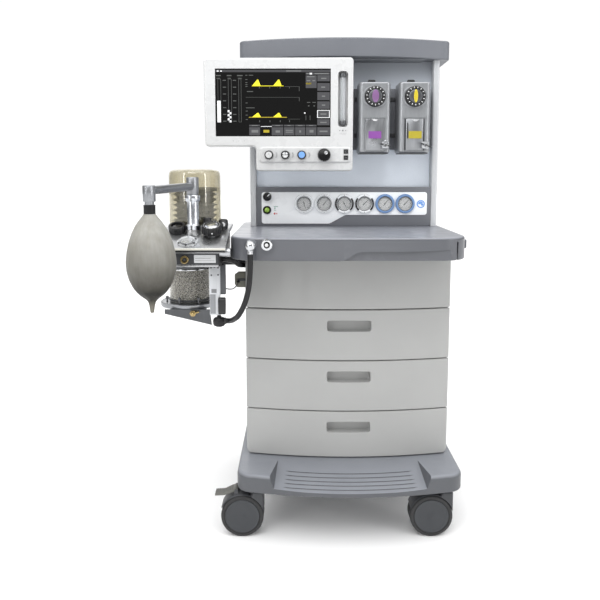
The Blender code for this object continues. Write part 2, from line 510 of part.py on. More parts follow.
man = prism("absorber_manifold", [(PLATE_Y0, PLATE_Z0), (PLATE_Y0, PLATE_Z1), (SLOPE_Y1, SHELF_Z), (PLATE_Y1, SHELF_Z),
                                  (PLATE_Y1, SHELF_Z - 0.014), (SLOPE_Y1 + 0.0025, SHELF_Z - 0.014), (PLATE_Y0 + 0.0030, PLATE_Z0)],
            -0.5350, -0.3430, axis="X", mat=ALU)
cut(man, prism("plate_taper", [(-0.34208, -0.2200), (-0.3200, -0.2200), (-0.3200, 0.0100), (-0.35623, 0.0100)], 0.84, 0.92, tool=True))
join(man,
     prism("manifold_block", [(-0.2950, 0.8055), (-0.2950, 0.8600), (-0.2050, 0.8975), (-0.0150, 0.8975), (-0.0150, 0.8055)],
           -0.5250, -0.3640, axis="X", tool=True),
     cyl("side_port", (-0.3680, -0.2800, 0.8450), (-0.3330, -0.2800, 0.8450), 0.0120, 16, tool=True),
     cyl("dome_seat", (*DOME, SHELF_Z - 0.004), (*DOME, 0.9125), 0.0790, 24, tool=True),
     cyl("post_pad", (*POST, SHELF_Z - 0.030), (*POST, PAD_Z), 0.0205, 20, tool=True),
     cyl("valve_front", on_slope(-0.4510, -0.2840, -0.003), on_slope(-0.4510, -0.2840, 0.0125), 0.0275, 24, tool=True),
     cyl("valve_left", on_slope(-0.4880, -0.2260, -0.005), on_slope(-0.4880, -0.2260, 0.0220), 0.0240, 20, tool=True),
     cyl("valve_right", (-0.4065, -0.2080, 0.8960), (-0.4065, -0.2080, 0.9350), 0.0120, 12, tool=True),
     cyl("exhaust_port", (-0.3616, -0.2050, 0.8960), (-0.3616, -0.2050, 0.9320), 0.0135, 16, tool=True),
     cyl("apl_stem", on_slope(*APL, -0.0105), on_slope(*APL, 0.0080), 0.0120, 20, tool=True),
     cyl("apl_pin", on_slope(*APL, 0.0060), on_slope(*APL, 0.0210), 0.0045, 12, tool=True),
     box("latch_strip", -0.3957, -0.3656, -0.2620, -0.2580, 0.6660, 0.8075, tool=True),
     box("latch_frame", -0.3780, -0.3513, -0.2600, -0.2460, 0.7240, 0.8075, tool=True))

bracket = box("absorber_bracket", -0.5000, -0.3022, -0.0800, -0.0200, 0.7830, 0.8050, GREY_DARK)
join(bracket, box("bracket_plate", -0.3082, -0.3022, -0.0950, 0.0100, 0.7000, 0.8220, tool=True))

dome = turned("bellows_dome", [(0, 1.0735), (0.0450, 1.0715), (0.0640, 1.0660), (0.0715, 1.0600), (0.0743, 1.0500), (0.0755, 0.9128),
                               (0, 0.9128)], 20, AMBER, (*DOME, 0))
cut(dome, turned("dome_inside", [(0, 1.0710), (0.0440, 1.0690), (0.0620, 1.0635), (0.0690, 1.0580), (0.0718, 1.0500),
                                 (0.0732, 0.8950), (0, 0.8950)], 20, None, (*DOME, 0), tool=True))

folds = 5
z_lo, z_hi = 0.9135, 1.0080
prof = [(0, 1.0200), (0.0600, 1.0200), (0.0655, 1.0160), (0.0655, 1.0100)]
for k in range(folds):
    z = z_hi - (z_hi - z_lo - 0.006) * (k + 0.5) / folds
    prof += [(0.0560, z + 0.0020), (0.0650, z - 0.0070)]
prof += [(0.0600, z_lo), (0, z_lo)]
bellows = turned("bellows", prof, 16, RUBBER, (*DOME, 0))
cut(bellows, cyl("bellows_inside", (*DOME, 0.89), (*DOME, 1.0165), 0.0520, 16, tool=True))

turned("bag_post", [(0, 1.0430), (0.0080, 1.0430), (0.0080, 1.0008), (0.0207, 1.0008), (0.0207, 0.9820), (0.0165, 0.9820),
                    (0.0165, 0.9130), (0.0205, 0.9120), (0.0205, PAD_Z + GAP), (0, PAD_Z + GAP)], 16, CHROME, (*POST, 0))
arm = turned("bag_arm", [(0, 1.0496), (0.0150, 1.0496), (0.0169, 1.0478), (0.0169, 1.0012), (0, 1.0012)], 16, ALU, (*POST, 0))
join(arm, cyl("arm_rod", (*POST, 1.0240), (*BAG, 1.0165), 0.0110, 12, tool=True),
     cyl("arm_mount", (*BAG, 0.9891), (*BAG, 1.0293), 0.0157, 16, tool=True),
     cyl("arm_neck", (*BAG, 0.9816), (*BAG, 0.9950), 0.0115, 12, tool=True))
cut(arm, cyl("arm_bore", (*POST, 0.99), (*POST, 1.0434), 0.0083, 16, tool=True))

bag_prof = [(0, 0.9813), (0.0149, 0.9813), (0.0149, 0.9592), (0.0165, 0.9570), (0.0300, 0.9385), (0.0430, 0.9150),
            (0.0540, 0.8850), (0.0600, 0.8620), (0.0624, 0.8400), (0.0600, 0.8130), (0.0520, 0.7850), (0.0380, 0.7630),
            (0.0200, 0.7500), (0.0080, 0.7430), (0.0050, 0.7250), (0.0040, 0.7110), (0, 0.7110)]
turned("breathing_bag", bag_prof, 16, BAGM, (*BAG, 0))
knob = turned("apl_valve", [(0, 0.0340), (0.0220, 0.0340), (0.0265, 0.0315), (0.0280, 0.0275), (0.0280, 0.0125), (0.0260, 0.0083), (0, 0.0083)],
              24, BLACK, on_slope(*APL))
knob.rotation_euler = (SLOPE, 0, 0)     # stands square to the sloping plate
cut(knob, cyl("apl_bore", on_slope(*APL, 0.0010), on_slope(*APL, 0.0216), 0.0049, 12, tool=True))

turned("canister_jar", [(0, 0.8030), (0.0740, 0.8030), (0.0740, 0.7900), (0.0580, 0.7895), (0.0580, 0.6905), (0, 0.6905)],
       24, LIME, (*CAN, 0))
tray = turned("canister_tray", [(0, 0.6902), (0.0800, 0.6902), (0.0840, 0.6870), (0.0840, 0.6790), (0.0800, 0.6760), (0, 0.6760)],
              36, ALU, (*CAN, 0))
join(tray, prism("cradle_plate", [(-0.5255, 0.6790), (-0.5255, 0.6660), (-0.3928, 0.6341), (-0.3980, 0.6790)],
                 -0.2462, -0.2432, axis="Y", tool=True),
     box("cradle_web", -0.5100, -0.4100, -0.2445, -0.2200, 0.6760, 0.6790, tool=True))
turned("drain_valve", [(0, 0.0160), (0.0050, 0.0160), (0.0060, 0.0100), (0.0080, 0.0095), (0.0080, 0.0003), (0, 0.0003)],
       16, BRASS, (-0.4447, -0.2462, 0.6690), axis="-Y")

LEVER = (-0.3600, -0.2735, 0.7083)
lev = []
for k in range(0, 9):
    t = math.radians(180 * k / 8)
    lev.append((LEVER[1] + 0.0107 * math.cos(t), LEVER[2] + 0.0107 * math.sin(t)))
lev += [(-0.2820, 0.6716), (-0.2660, 0.6716)]
lever = prism("canister_lever", lev, -0.3700, -0.3500, axis="X", mat=BLACK, at=LEVER)
bevel(lever, 0.002, 1, 50)
turned("hose_elbow", [(0, 0.6655), (0.0060, 0.6655), (0.0060, 0.6600), (0.0150, 0.6580), (0.0172, 0.6540), (0.0176, 0.6450),
                      (0.0150, 0.6370), (0.0080, 0.6335), (0, 0.6335)], 20, RUBBER, (-0.3700, -0.2600, 0))

# ---------------------------------------------------------------- hoses and sensor lead
tube("machine_hose", [(-0.3630, -0.2300, 0.8200), (-0.3585, -0.2300, 0.8200), (-0.3520, -0.2298, 0.8200), (-0.3400, -0.2200, 0.8160),
                      (-0.3310, -0.1900, 0.8070), (-0.3280, -0.1600, 0.7980), (-0.3240, -0.1250, 0.7890),
                      (-0.3140, -0.1055, 0.7860), (-0.3085, -0.1050, 0.7855), (-0.3026, -0.1050, 0.7855)], BORE_HOSE_R * 0.85, 20, RUBBER, 2)
tube("fresh_gas_hose", [(-0.2750, -0.3400, 0.8467), (-0.2755, -0.3400, 0.8200), (-0.2768, -0.3390, 0.7906), (-0.2815, -0.3370, 0.7500),
                        (-0.2935, -0.3300, 0.7090), (-0.3110, -0.3120, 0.6760), (-0.3260, -0.2870, 0.6600),
                        (-0.3375, -0.2665, 0.6515), (-0.3450, -0.2604, 0.6496), (-0.3513, -0.2600, 0.6495)], HOSE_R, 24, RUBBER, 2)
box("sensor_plug", -0.3410, -0.3022, -0.1150, -0.0990, 0.7190, 0.7660, OLIVE)
tube("sensor_cable", [(-0.3507, -0.2530, 0.7395), (-0.3480, -0.2528, 0.7392), (-0.3420, -0.2460, 0.7370), (-0.3350, -0.2200, 0.7335),
                      (-0.3310, -0.1800, 0.7330), (-0.3300, -0.1400, 0.7355), (-0.3300, -0.1154, 0.7370)], 0.0016, 20, BLACK, 2)

# ---------------------------------------------------------------- origin below the middle of the box
X_LO, X_HI = BAG[0] - 0.0624, CAN_HW
Y_LO, Y_HI = BAG[1] - 0.0624, BASE_BACK
SHIFT = Vector((-(X_LO + X_HI) / 2, -(Y_LO + Y_HI) / 2, 0.0))
for ob in list(parts.objects) + list(tools.objects):
    ob.location = Vector(ob.location) + SHIFT
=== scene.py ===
"""Looks of the anesthesia machine: detailed pieces, materials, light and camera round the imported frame.

All measures are metres in the machine frame of the CAD (x from the middle of the cabinet, y to the back,
z up) and are moved by S into the row frame. Pieces take their places from the CAD nodes they stand for.
"""

import json
import math

import bmesh
import bpy
import numpy as np
from mathutils import Matrix, Vector, noise

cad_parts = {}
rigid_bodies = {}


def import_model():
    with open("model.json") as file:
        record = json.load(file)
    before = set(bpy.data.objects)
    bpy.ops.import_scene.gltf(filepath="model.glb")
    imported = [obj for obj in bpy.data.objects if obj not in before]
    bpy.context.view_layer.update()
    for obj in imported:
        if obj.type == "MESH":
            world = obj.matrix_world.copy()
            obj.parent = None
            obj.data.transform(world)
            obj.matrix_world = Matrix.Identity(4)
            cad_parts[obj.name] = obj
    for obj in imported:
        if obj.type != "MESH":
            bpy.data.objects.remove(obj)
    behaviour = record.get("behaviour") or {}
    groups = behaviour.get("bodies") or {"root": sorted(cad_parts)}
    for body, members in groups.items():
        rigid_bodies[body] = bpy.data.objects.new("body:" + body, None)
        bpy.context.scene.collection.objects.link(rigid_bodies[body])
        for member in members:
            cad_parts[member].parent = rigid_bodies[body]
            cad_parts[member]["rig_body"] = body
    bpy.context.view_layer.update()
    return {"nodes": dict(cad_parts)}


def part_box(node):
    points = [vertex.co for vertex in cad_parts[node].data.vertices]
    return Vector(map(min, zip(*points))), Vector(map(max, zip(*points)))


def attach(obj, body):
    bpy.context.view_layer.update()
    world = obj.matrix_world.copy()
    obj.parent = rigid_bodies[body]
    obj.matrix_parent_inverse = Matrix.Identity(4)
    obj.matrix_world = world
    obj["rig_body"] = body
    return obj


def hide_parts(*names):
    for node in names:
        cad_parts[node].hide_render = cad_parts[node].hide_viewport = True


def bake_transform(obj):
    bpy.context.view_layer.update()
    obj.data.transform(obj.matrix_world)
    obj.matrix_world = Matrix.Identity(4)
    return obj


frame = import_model()
scene = bpy.context.scene
_lo, _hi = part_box("cabinet_shell")
S = Vector(((_lo[0] + _hi[0]) / 2, _lo[1] + 0.1217, 0.0))
TAU = math.tau
rad = math.radians


def place_of(node):
    """A CAD node's lowest and highest corners in the machine frame."""
    lo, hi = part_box(node)
    return Vector(lo) - S, Vector(hi) - S


# ------------------------------------------------------------------ camera
cam_data = bpy.data.cameras.new("camera")
cam_data.sensor_width = 36.0
cam_data.lens = 37.73
cam_data.shift_x = -0.0011
cam_data.shift_y = -0.0850
camera = bpy.data.objects.new("camera", cam_data)
camera.location = S + Vector((-0.1420, -1.9886, 1.0460))
camera.rotation_euler = (rad(90 - 6.406), 0, 0)
scene.collection.objects.link(camera)
scene.camera = camera

# ------------------------------------------------------------------ materials
class Mat:
    """A Principled material with its own noise in the object's own metres."""

    def __init__(self, name):
        self.m = bpy.data.materials.new(name)
        self.m.use_nodes = True
        self.t = self.m.node_tree
        self.b = self.t.nodes["Principled BSDF"]
        self.co = self.t.nodes.new("ShaderNodeTexCoord").outputs["Object"]

    def node(self, kind, **kw):
        n = self.t.nodes.new(kind)
        for k, v in kw.items():
            if isinstance(k, str) and k in n.inputs:
                n.inputs[k].default_value = v
            else:
                setattr(n, k, v)
        return n

    def link(self, a, b):
        self.t.links.new(a, b)

    def mapped(self, scale=(1, 1, 1), rot=(0, 0, 0)):
        n = self.node("ShaderNodeMapping")
        n.inputs["Scale"].default_value = scale
        n.inputs["Rotation"].default_value = rot
        self.link(self.co, n.inputs["Vector"])
        return n.outputs["Vector"]

    def noise(self, scale, detail=2.0, rough=0.5, vec=None, distortion=0.0):
        n = self.node("ShaderNodeTexNoise")
        n.inputs["Scale"].default_value = scale
        n.inputs["Detail"].default_value = detail
        n.inputs["Roughness"].default_value = rough
        n.inputs["Distortion"].default_value = distortion
        self.link(vec or self.co, n.inputs["Vector"])
        return n.outputs["Fac"]

    def remap(self, fac, a, b, lo=0.35, hi=0.65):
        n = self.node("ShaderNodeMapRange")
        n.inputs["From Min"].default_value = lo
        n.inputs["From Max"].default_value = hi
        n.inputs["To Min"].default_value = a
        n.inputs["To Max"].default_value = b
        self.link(fac, n.inputs["Value"])
        return n.outputs["Result"]

    def mix(self, fac, a, b, blend="MIX"):
        n = self.node("ShaderNodeMix", data_type="RGBA", blend_type=blend, clamp_factor=True)
        for i, v in ((0, fac), (6, a), (7, b)):
            if isinstance(v, bpy.types.NodeSocket):
                self.link(v, n.inputs[i])
            elif i == 0:
                n.inputs[i].default_value = v
            else:
                n.inputs[i].default_value = (*v, 1.0) if len(v) == 3 else v
        return n.outputs[2]

    def math(self, op, a, b=None):
        n = self.node("ShaderNodeMath", operation=op)
        for i, v in ((0, a), (1, b)):
            if v is None:
                continue
            if isinstance(v, bpy.types.NodeSocket):
                self.link(v, n.inputs[i])
            else:
                n.inputs[i].default_value = v
        return n.outputs[0]

    def bump(self, height, strength=0.3, distance=0.0004, normal=None):
        n = self.node("ShaderNodeBump")
        n.inputs["Strength"].default_value = strength
        n.inputs["Distance"].default_value = distance
        self.link(height, n.inputs["Height"])
        if normal is not None:
            self.link(normal, n.inputs["Normal"])
        self.link(n.outputs["Normal"], self.b.inputs["Normal"])
        return n.outputs["Normal"]

    def set(self, **kw):
        for k, v in kw.items():
            s = self.b.inputs[k.replace("_", " ")]
            if isinstance(v, bpy.types.NodeSocket):
                self.link(v, s)
            elif isinstance(v, tuple) and len(v) == 3:
                s.default_value = (*v, 1.0)
            else:
                s.default_value = v
        return self


def shade(c, k):
    return tuple(min(1.0, v * k) for v in c)


def moulded(name, base, rough=0.45, vary=0.06, grain=2200.0, depth=0.00012, coat=0.0, spec=0.5, worn=0.0, speck=0.03, top=1.0):
    """Moulded or sprayed plastic: soft colour drift, fine speckle, a spark-eroded grain and uneven gloss.
    Faces that look up can be painted paler by the factor top, a painted top light standing in for light from above."""
    m = Mat(name)
    drift = m.remap(m.noise(5.0, 3.0, 0.55), 0.0, 1.0)
    col = m.mix(drift, shade(base, 1 - vary), shade(base, 1 + vary))
    speckf = m.remap(m.noise(grain * 0.45, 1.0), 0.0, 1.0)
    col = m.mix(speckf, m.mix(1.0, col, (1 - speck, 1 - speck, 1 - speck), "MULTIPLY"), col)
    # painted top light: the colour of faces that look up is multiplied by top
    if top != 1.0:
        up = m.node("ShaderNodeSeparateXYZ")
        m.link(m.node("ShaderNodeNewGeometry").outputs["True Normal"], up.inputs[0])
        col = m.mix(m.remap(up.outputs["Z"], 0.0, 1.0, 0.35, 0.85), col, m.mix(1.0, col, (top, top, top), "MULTIPLY"))
    if worn:
        geo = m.node("ShaderNodeNewGeometry")
        edge = m.remap(geo.outputs["Pointiness"], 0.0, worn, 0.52, 0.60)
        patch = m.remap(m.noise(40.0, 4.0, 0.7), 0.0, 1.0, 0.45, 0.6)
        col = m.mix(m.math("MULTIPLY", edge, patch), col, shade(base, 1.45))
    m.set(Base_Color=col, Roughness=m.remap(m.noise(23.0, 4.0, 0.6), rough - 0.05, rough + 0.07))
    m.b.inputs["Specular IOR Level"].default_value = spec
    m.b.inputs["Coat Weight"].default_value = coat
    m.b.inputs["Coat Roughness"].default_value = 0.12
    m.bump(m.noise(grain, 2.0, 0.6), 0.22, depth)
    return m.m


def metal(name, base, rough=0.25, brushed=None, aniso=0.0, vary=0.05, metallic=1.0, depth=0.00004):
    """Metal: drifting tint, fine brushed lines along one axis and a smudged gloss."""
    m = Mat(name)
    drift = m.remap(m.noise(9.0, 3.0, 0.6), 0.0, 1.0)
    col = m.mix(drift, shade(base, 1 - vary), shade(base, 1 + vary))
    if brushed:
        lines = m.noise(1.0, 2.0, 0.6, vec=m.mapped(brushed))
        col = m.mix(m.remap(lines, 0.0, 1.0, 0.3, 0.7), m.mix(1.0, col, (0.90, 0.90, 0.90), "MULTIPLY"), col)
        m.bump(lines, 0.25, depth)
    else:
        m.bump(m.noise(900.0, 2.0), 0.08, depth)
    smudge = m.noise(31.0, 4.0, 0.65)
    m.set(Base_Color=col, Metallic=metallic, Roughness=m.remap(smudge, rough - 0.03, rough + 0.06))
    m.b.inputs["Anisotropic"].default_value = aniso
    return m.m


GREY = moulded("grey_moulding", (0.136, 0.144, 0.162), 0.46, 0.04, 1500.0, 0.00020, worn=0.25)
# painted light: worktop and base are darker copies of the grey moulding as painted shade on their sides, with tops
# painted 2.6 and 2.85 times paler as painted top light
GREY_WT_PAINTED_LIGHT = moulded("grey_worktop_painted_light", (0.090, 0.094, 0.106), 0.33, 0.03, 1500.0, 0.00005, coat=0.20, worn=0.25, top=2.60)
GREY_BASE_PAINTED_LIGHT = moulded("grey_base_painted_light", (0.080, 0.084, 0.093), 0.44, 0.04, 1500.0, 0.00020, worn=0.25, top=2.85)
GREY_PANEL = moulded("grey_panel", (0.150, 0.157, 0.174), 0.50, 0.04, 1500.0, 0.00018)
GREY_DARK = moulded("grey_block", (0.030, 0.032, 0.036), 0.42, 0.08, 1200.0, 0.00016, worn=0.5)
WARM = moulded("warm_white", (0.338, 0.340, 0.335), 0.42, 0.025, 1800.0, 0.00014, speck=0.02)
SHELL = moulded("shell_paint", (0.345, 0.348, 0.342), 0.38, 0.03, 900.0, 0.00016, speck=0.02)
GAPDARK = moulded("seam_shadow", (0.070, 0.069, 0.062), 0.8, 0.1, 700.0)
WHITE = moulded("white_plastic", (0.575, 0.580, 0.582), 0.28, 0.012, 1600.0, 0.00008, coat=0.10, speck=0.01)
FASCIA = moulded("white_fascia", (0.925, 0.945, 0.965), 0.30, 0.015, 1500.0, 0.00006, coat=0.2, speck=0.01)
PANEL = None
CHAR = moulded("charcoal_plastic", (0.044, 0.046, 0.051), 0.48, 0.06, 1300.0, 0.00020, worn=0.4)
CHAR_DK = moulded("charcoal_disc", (0.038, 0.041, 0.046), 0.54, 0.06, 1300.0, 0.00016)
TREAD = moulded("castor_tread", (0.022, 0.022, 0.023), 0.62, 0.15, 700.0, 0.00030)
BLACK = moulded("black_plastic", (0.012, 0.012, 0.013), 0.34, 0.15, 1500.0, 0.00010, worn=0.3)
BLACK_GLOSS = moulded("black_gloss", (0.006, 0.006, 0.007), 0.16, 0.10, 1500.0, 0.00003, coat=0.2, spec=0.35)
RUBBER = moulded("black_rubber", (0.010, 0.010, 0.011), 0.42, 0.18, 900.0, 0.00022, spec=0.35)
BELLOWS = moulded("bellows_rubber", (0.105, 0.108, 0.096), 0.50, 0.12, 900.0, 0.00022, spec=0.35)
OLIVE = moulded("olive_plastic", (0.150, 0.148, 0.120), 0.55, 0.08, 900.0, 0.0002)
OLIVE_LT = moulded("pedal_plastic", (0.120, 0.120, 0.108), 0.5, 0.10, 900.0, 0.0002, worn=0.4)
BLUE = moulded("blue_plastic", (0.170, 0.360, 0.760), 0.30, 0.05, 1500.0, 0.00005, coat=0.3)
BLUE_RING = moulded("blue_ring", (0.165, 0.285, 0.520), 0.40, 0.04, 1500.0, 0.00006)
WHITE_INK = moulded("white_ink", (0.860, 0.870, 0.880), 0.45, 0.02, 900.0)
GREY_INK = moulded("grey_ink", (0.200, 0.205, 0.215), 0.5, 0.03, 900.0)
DARK_INK = moulded("dark_ink", (0.030, 0.030, 0.034), 0.5, 0.05, 900.0)
GREEN_INK = moulded("green_ink", (0.080, 0.300, 0.200), 0.5, 0.03, 900.0)
RED_INK = moulded("red_ink", (0.560, 0.060, 0.050), 0.5, 0.03, 900.0)
PURPLE = moulded("purple_label", (0.230, 0.060, 0.310), 0.42, 0.10, 500.0, 0.0002)
PURPLE_LT = moulded("purple_lens", (0.205, 0.105, 0.240), 0.25, 0.12, 500.0, 0.0001, coat=0.2)
YELLOW = moulded("yellow_label", (0.400, 0.330, 0.022), 0.42, 0.10, 500.0, 0.0002)
YELLOW_LT = moulded("yellow_lens", (0.600, 0.480, 0.030), 0.25, 0.12, 500.0, 0.0001, coat=0.2)
LABEL = moulded("white_label", (0.640, 0.650, 0.660), 0.5, 0.03, 900.0)
DIALF = moulded("gauge_paper", (0.520, 0.520, 0.510), 0.55, 0.05, 700.0)
ALU = metal("satin_aluminium", (0.500, 0.512, 0.528), 0.30, (300, 300, 6), 0.2, 0.04, 0.85)
ALU_X = metal("cut_aluminium", (0.440, 0.446, 0.454), 0.28, (8, 420, 420), 0.2, 0.05, 0.9)
ALU_DK = metal("cast_aluminium", (0.110, 0.114, 0.121), 0.34, (260, 260, 10), 0.0, 0.10, 0.85)
ALU_ARM = metal("arm_aluminium", (0.300, 0.309, 0.324), 0.30, (300, 300, 6), 0.2, 0.04, 0.85)
ALU_LT = metal("strip_aluminium", (0.640, 0.656, 0.682), 0.34, (300, 300, 6), 0.2, 0.04, 0.60)
EXTR = metal("column_anodised", (0.560, 0.574, 0.592), 0.38, (420, 420, 5), 0.0, 0.03, 0.15)
CHROME = metal("chrome", (0.560, 0.570, 0.588), 0.09, None, 0.0, 0.03)
STEEL = metal("polished_steel", (0.540, 0.548, 0.560), 0.16, (40, 40, 700), 0.0, 0.05)
POST = metal("post_steel", (0.560, 0.580, 0.615), 0.20, None, 0.0, 0.03, 1.0, 0.00001)
# painted highlight: pale tone for the lit front lip of the absorber plate
PAINTED_EDGE_HIGHLIGHT = moulded("painted_edge_highlight", (0.620, 0.610, 0.545), 0.40, 0.02, 1500.0, 0.00008)
SILVER = metal("silver_enamel", (0.335, 0.346, 0.362), 0.31, (120, 120, 30), 0.0, 0.03, 0.55)
BRASS = metal("brass", (0.440, 0.330, 0.150), 0.24, None, 0.0, 0.12)
SCREW = metal("dark_screws", (0.110, 0.112, 0.118), 0.35, None, 0.0, 0.10)


def panel_material():
    """Silvery sprayed sheet behind the vaporizers, with a painted shadow darkening it towards the soffit and its front
    faces painted paler as painted light.
    """
    m = Mat("panel_paint")
    sep = m.node("ShaderNodeSeparateXYZ")
    m.link(m.co, sep.inputs[0])
    # painted shadow: the colour darkens towards the top, under the canopy
    soffit_shadow = m.node("ShaderNodeMapRange", interpolation_type="SMOOTHSTEP")
    m.link(sep.outputs["Z"], soffit_shadow.inputs["Value"])
    for k, v in (("From Min", 1.290), ("From Max", 1.430), ("To Min", 0.0), ("To Max", 1.0)):
        soffit_shadow.inputs[k].default_value = v
    drift = m.remap(m.noise(5.0, 3.0, 0.55), 0.0, 1.0)
    col = m.mix(drift, (0.770, 0.830, 0.915), (0.810, 0.870, 0.950))
    col = m.mix(soffit_shadow.outputs["Result"], col, (0.270, 0.288, 0.320))
    # painted light: faces that look to the front are painted much paler than the sheet's other faces
    face = m.node("ShaderNodeSeparateXYZ")
    m.link(m.node("ShaderNodeNewGeometry").outputs["True Normal"], face.inputs[0])
    col = m.mix(m.remap(face.outputs["Y"], 0.0, 1.0, -0.8, -0.2), col, m.mix(drift, (0.385, 0.402, 0.425), (0.410, 0.427, 0.450)))
    fleck = m.remap(m.noise(900.0, 1.0), 0.0, 1.0)
    col = m.mix(fleck, m.mix(1.0, col, (0.95, 0.95, 0.95), "MULTIPLY"), col)
    m.set(Base_Color=col, Metallic=0.15, Roughness=m.remap(m.noise(23.0, 4.0, 0.6), 0.30, 0.40))
    m.bump(m.noise(700.0, 2.0), 0.12, 0.00008)
    return m.m


PANEL = panel_material()


def lit(name, base, glow):
    """Picture elements of the display: a faint pixel grid over an even glow."""
    m = Mat(name)
    grid = m.noise(2600.0, 0.0)
    col = m.mix(m.remap(grid, 0.0, 1.0), shade(base, 0.9), base)
    m.set(Base_Color=shade(base, 0.35), Roughness=0.25, Emission_Color=col)
    m.b.inputs["Emission Strength"].default_value = glow
    m.b.inputs["Specular IOR Level"].default_value = 0.10
    return m.m


LIT_BG = lit("screen_background", (0.010, 0.010, 0.010), 0.6)
LIT_BAR = lit("screen_bar", (0.075, 0.075, 0.080), 0.8)
LIT_KEY = lit("screen_keys", (0.080, 0.080, 0.085), 0.9)
LIT_LINE = lit("screen_lines", (0.110, 0.115, 0.110), 0.8)
LIT_DIM = lit("screen_dim", (0.200, 0.205, 0.205), 0.8)
LIT_WHITE = lit("screen_white", (0.900, 0.910, 0.920), 0.9)
LIT_YELLOW = lit("screen_yellow", (0.920, 0.830, 0.050), 0.95)
LIT_AMBER = lit("screen_amber", (0.480, 0.380, 0.040), 0.8)


def clear(name, tint, alpha, rough=0.04, ior=1.45, streak=0.0):
    """Clear moulded plastic or glass, drawn as a thin coloured skin with its own gloss."""
    m = Mat(name)
    n = m.noise(11.0, 3.0, 0.6)
    m.set(Base_Color=m.mix(m.remap(n, 0.0, 1.0), shade(tint, 0.93), tint),
          Roughness=m.remap(m.noise(37.0, 3.0), rough, rough + 0.05))
    m.b.inputs["IOR"].default_value = ior
    m.b.inputs["Specular IOR Level"].default_value = 0.8
    fres = m.node("ShaderNodeLayerWeight")
    fres.inputs["Blend"].default_value = 0.35
    m.set(Alpha=m.remap(fres.outputs["Facing"], alpha, min(1.0, alpha + 0.45), 0.2, 1.0))
    m.bump(n, 0.05, 0.0006)
    m.m.surface_render_method = "BLENDED"
    return m.m


def tinted(name, tint, skin, cover, rough=0.04):
    """Coloured clear plastic: what lies behind is seen through the tint, with a glossy skin on top."""
    m = Mat(name)
    n = m.noise(9.0, 3.0, 0.6)
    m.set(Base_Color=m.mix(m.remap(n, 0.0, 1.0), shade(skin, 0.92), skin), Roughness=m.remap(m.noise(37.0, 3.0), rough, rough + 0.05))
    m.b.inputs["Specular IOR Level"].default_value = 0.7
    m.bump(n, 0.05, 0.0006)
    thin = m.node("ShaderNodeBsdfTransparent")
    m.link(m.mix(m.remap(n, 0.0, 1.0), shade(tint, 0.98), tint), thin.inputs["Color"])
    facing = m.node("ShaderNodeLayerWeight")
    facing.inputs["Blend"].default_value = 0.40
    mixer = m.node("ShaderNodeMixShader")
    m.link(m.remap(facing.outputs["Facing"], cover, min(1.0, cover + 0.40), 0.25, 1.0), mixer.inputs[0])
    m.link(thin.outputs[0], mixer.inputs[1])
    m.link(m.b.outputs[0], mixer.inputs[2])
    shine = m.node("ShaderNodeBsdfGlossy")
    shine.inputs["Roughness"].default_value = rough
    m.link(m.mix(m.remap(n, 0.0, 1.0), (0.94, 0.94, 0.94), (1.0, 1.0, 1.0)), shine.inputs["Color"])
    skin_f = m.remap(facing.outputs["Facing"], 0.05, 0.16, 0.30, 1.0)
    whole = m.node("ShaderNodeMixShader")
    m.link(skin_f, whole.inputs[0])
    m.link(mixer.outputs[0], whole.inputs[1])
    m.link(shine.outputs[0], whole.inputs[2])
    out = next(x for x in m.m.node_tree.nodes if x.type == "OUTPUT_MATERIAL")
    m.link(whole.outputs[0], out.inputs["Surface"])
    return m.m


GLASS = clear("clear_glass", (0.90, 0.92, 0.93), 0.16)
TUBE_GLASS = clear("flow_tube_glass", (0.600, 0.625, 0.650), 0.40)
DOME = tinted("smoked_dome", (0.880, 0.858, 0.780), (0.540, 0.520, 0.425), 0.07)
LENS_GREEN = moulded("green_lamp", (0.330, 0.560, 0.070), 0.12, 0.10, 400.0, 0.0001, coat=0.8)


def bag_material():
    m = Mat("bag_rubber")
    blot = m.remap(m.noise(14.0, 5.0, 0.6), 0.0, 1.0)
    streak = m.remap(m.noise(1.0, 3.0, 0.6, vec=m.mapped((70, 70, 9))), 0.0, 1.0)
    fine = m.noise(520.0, 2.0, 0.6)
    # darker in a band near the tail and lighter towards the full top: partly the rubber's own tone, partly painted
    # shade
    sep = m.node("ShaderNodeSeparateXYZ")
    m.link(m.co, sep.inputs[0])
    height = m.math("ADD", sep.outputs["Z"], m.remap(m.noise(26.0, 3.0), -0.007, 0.007, 0.2, 0.8))
    ramp = m.node("ShaderNodeValToRGB")
    m.link(m.remap(height, 0.0, 1.0, 0.705, 0.930), ramp.inputs[0])
    tone_and_shade_stops = ((0.0, (0.200, 0.190, 0.160)), (0.11, (0.170, 0.160, 0.135)), (0.18, (0.036, 0.034, 0.028)), (0.27, (0.014, 0.013, 0.011)),
             (0.345, (0.066, 0.063, 0.054)), (0.62, (0.205, 0.201, 0.184)), (0.95, (0.335, 0.332, 0.310)))
    while len(ramp.color_ramp.elements) < len(tone_and_shade_stops):
        ramp.color_ramp.elements.new(0.5)
    for e, (at, c) in zip(ramp.color_ramp.elements, tone_and_shade_stops):
        e.position = at
        e.color = (*c, 1.0)
    col = m.mix(blot, m.mix(1.0, ramp.outputs[0], (0.86, 0.85, 0.82), "MULTIPLY"), ramp.outputs[0])
    col = m.mix(m.math("MULTIPLY", streak, 0.45), col, m.mix(1.0, col, (0.70, 0.68, 0.64), "MULTIPLY"))
    m.set(Base_Color=col, Roughness=m.remap(blot, 0.42, 0.56, 0.0, 1.0))
    m.b.inputs["Subsurface Weight"].default_value = 0.06
    m.b.inputs["Subsurface Radius"].default_value = (0.006, 0.005, 0.003)
    m.b.inputs["Specular IOR Level"].default_value = 0.22
    h = m.math("ADD", m.math("MULTIPLY", streak, 0.8), m.math("MULTIPLY", fine, 0.25))
    m.bump(h, 0.45, 0.0010)
    return m.m


BAG_RUBBER = bag_material()


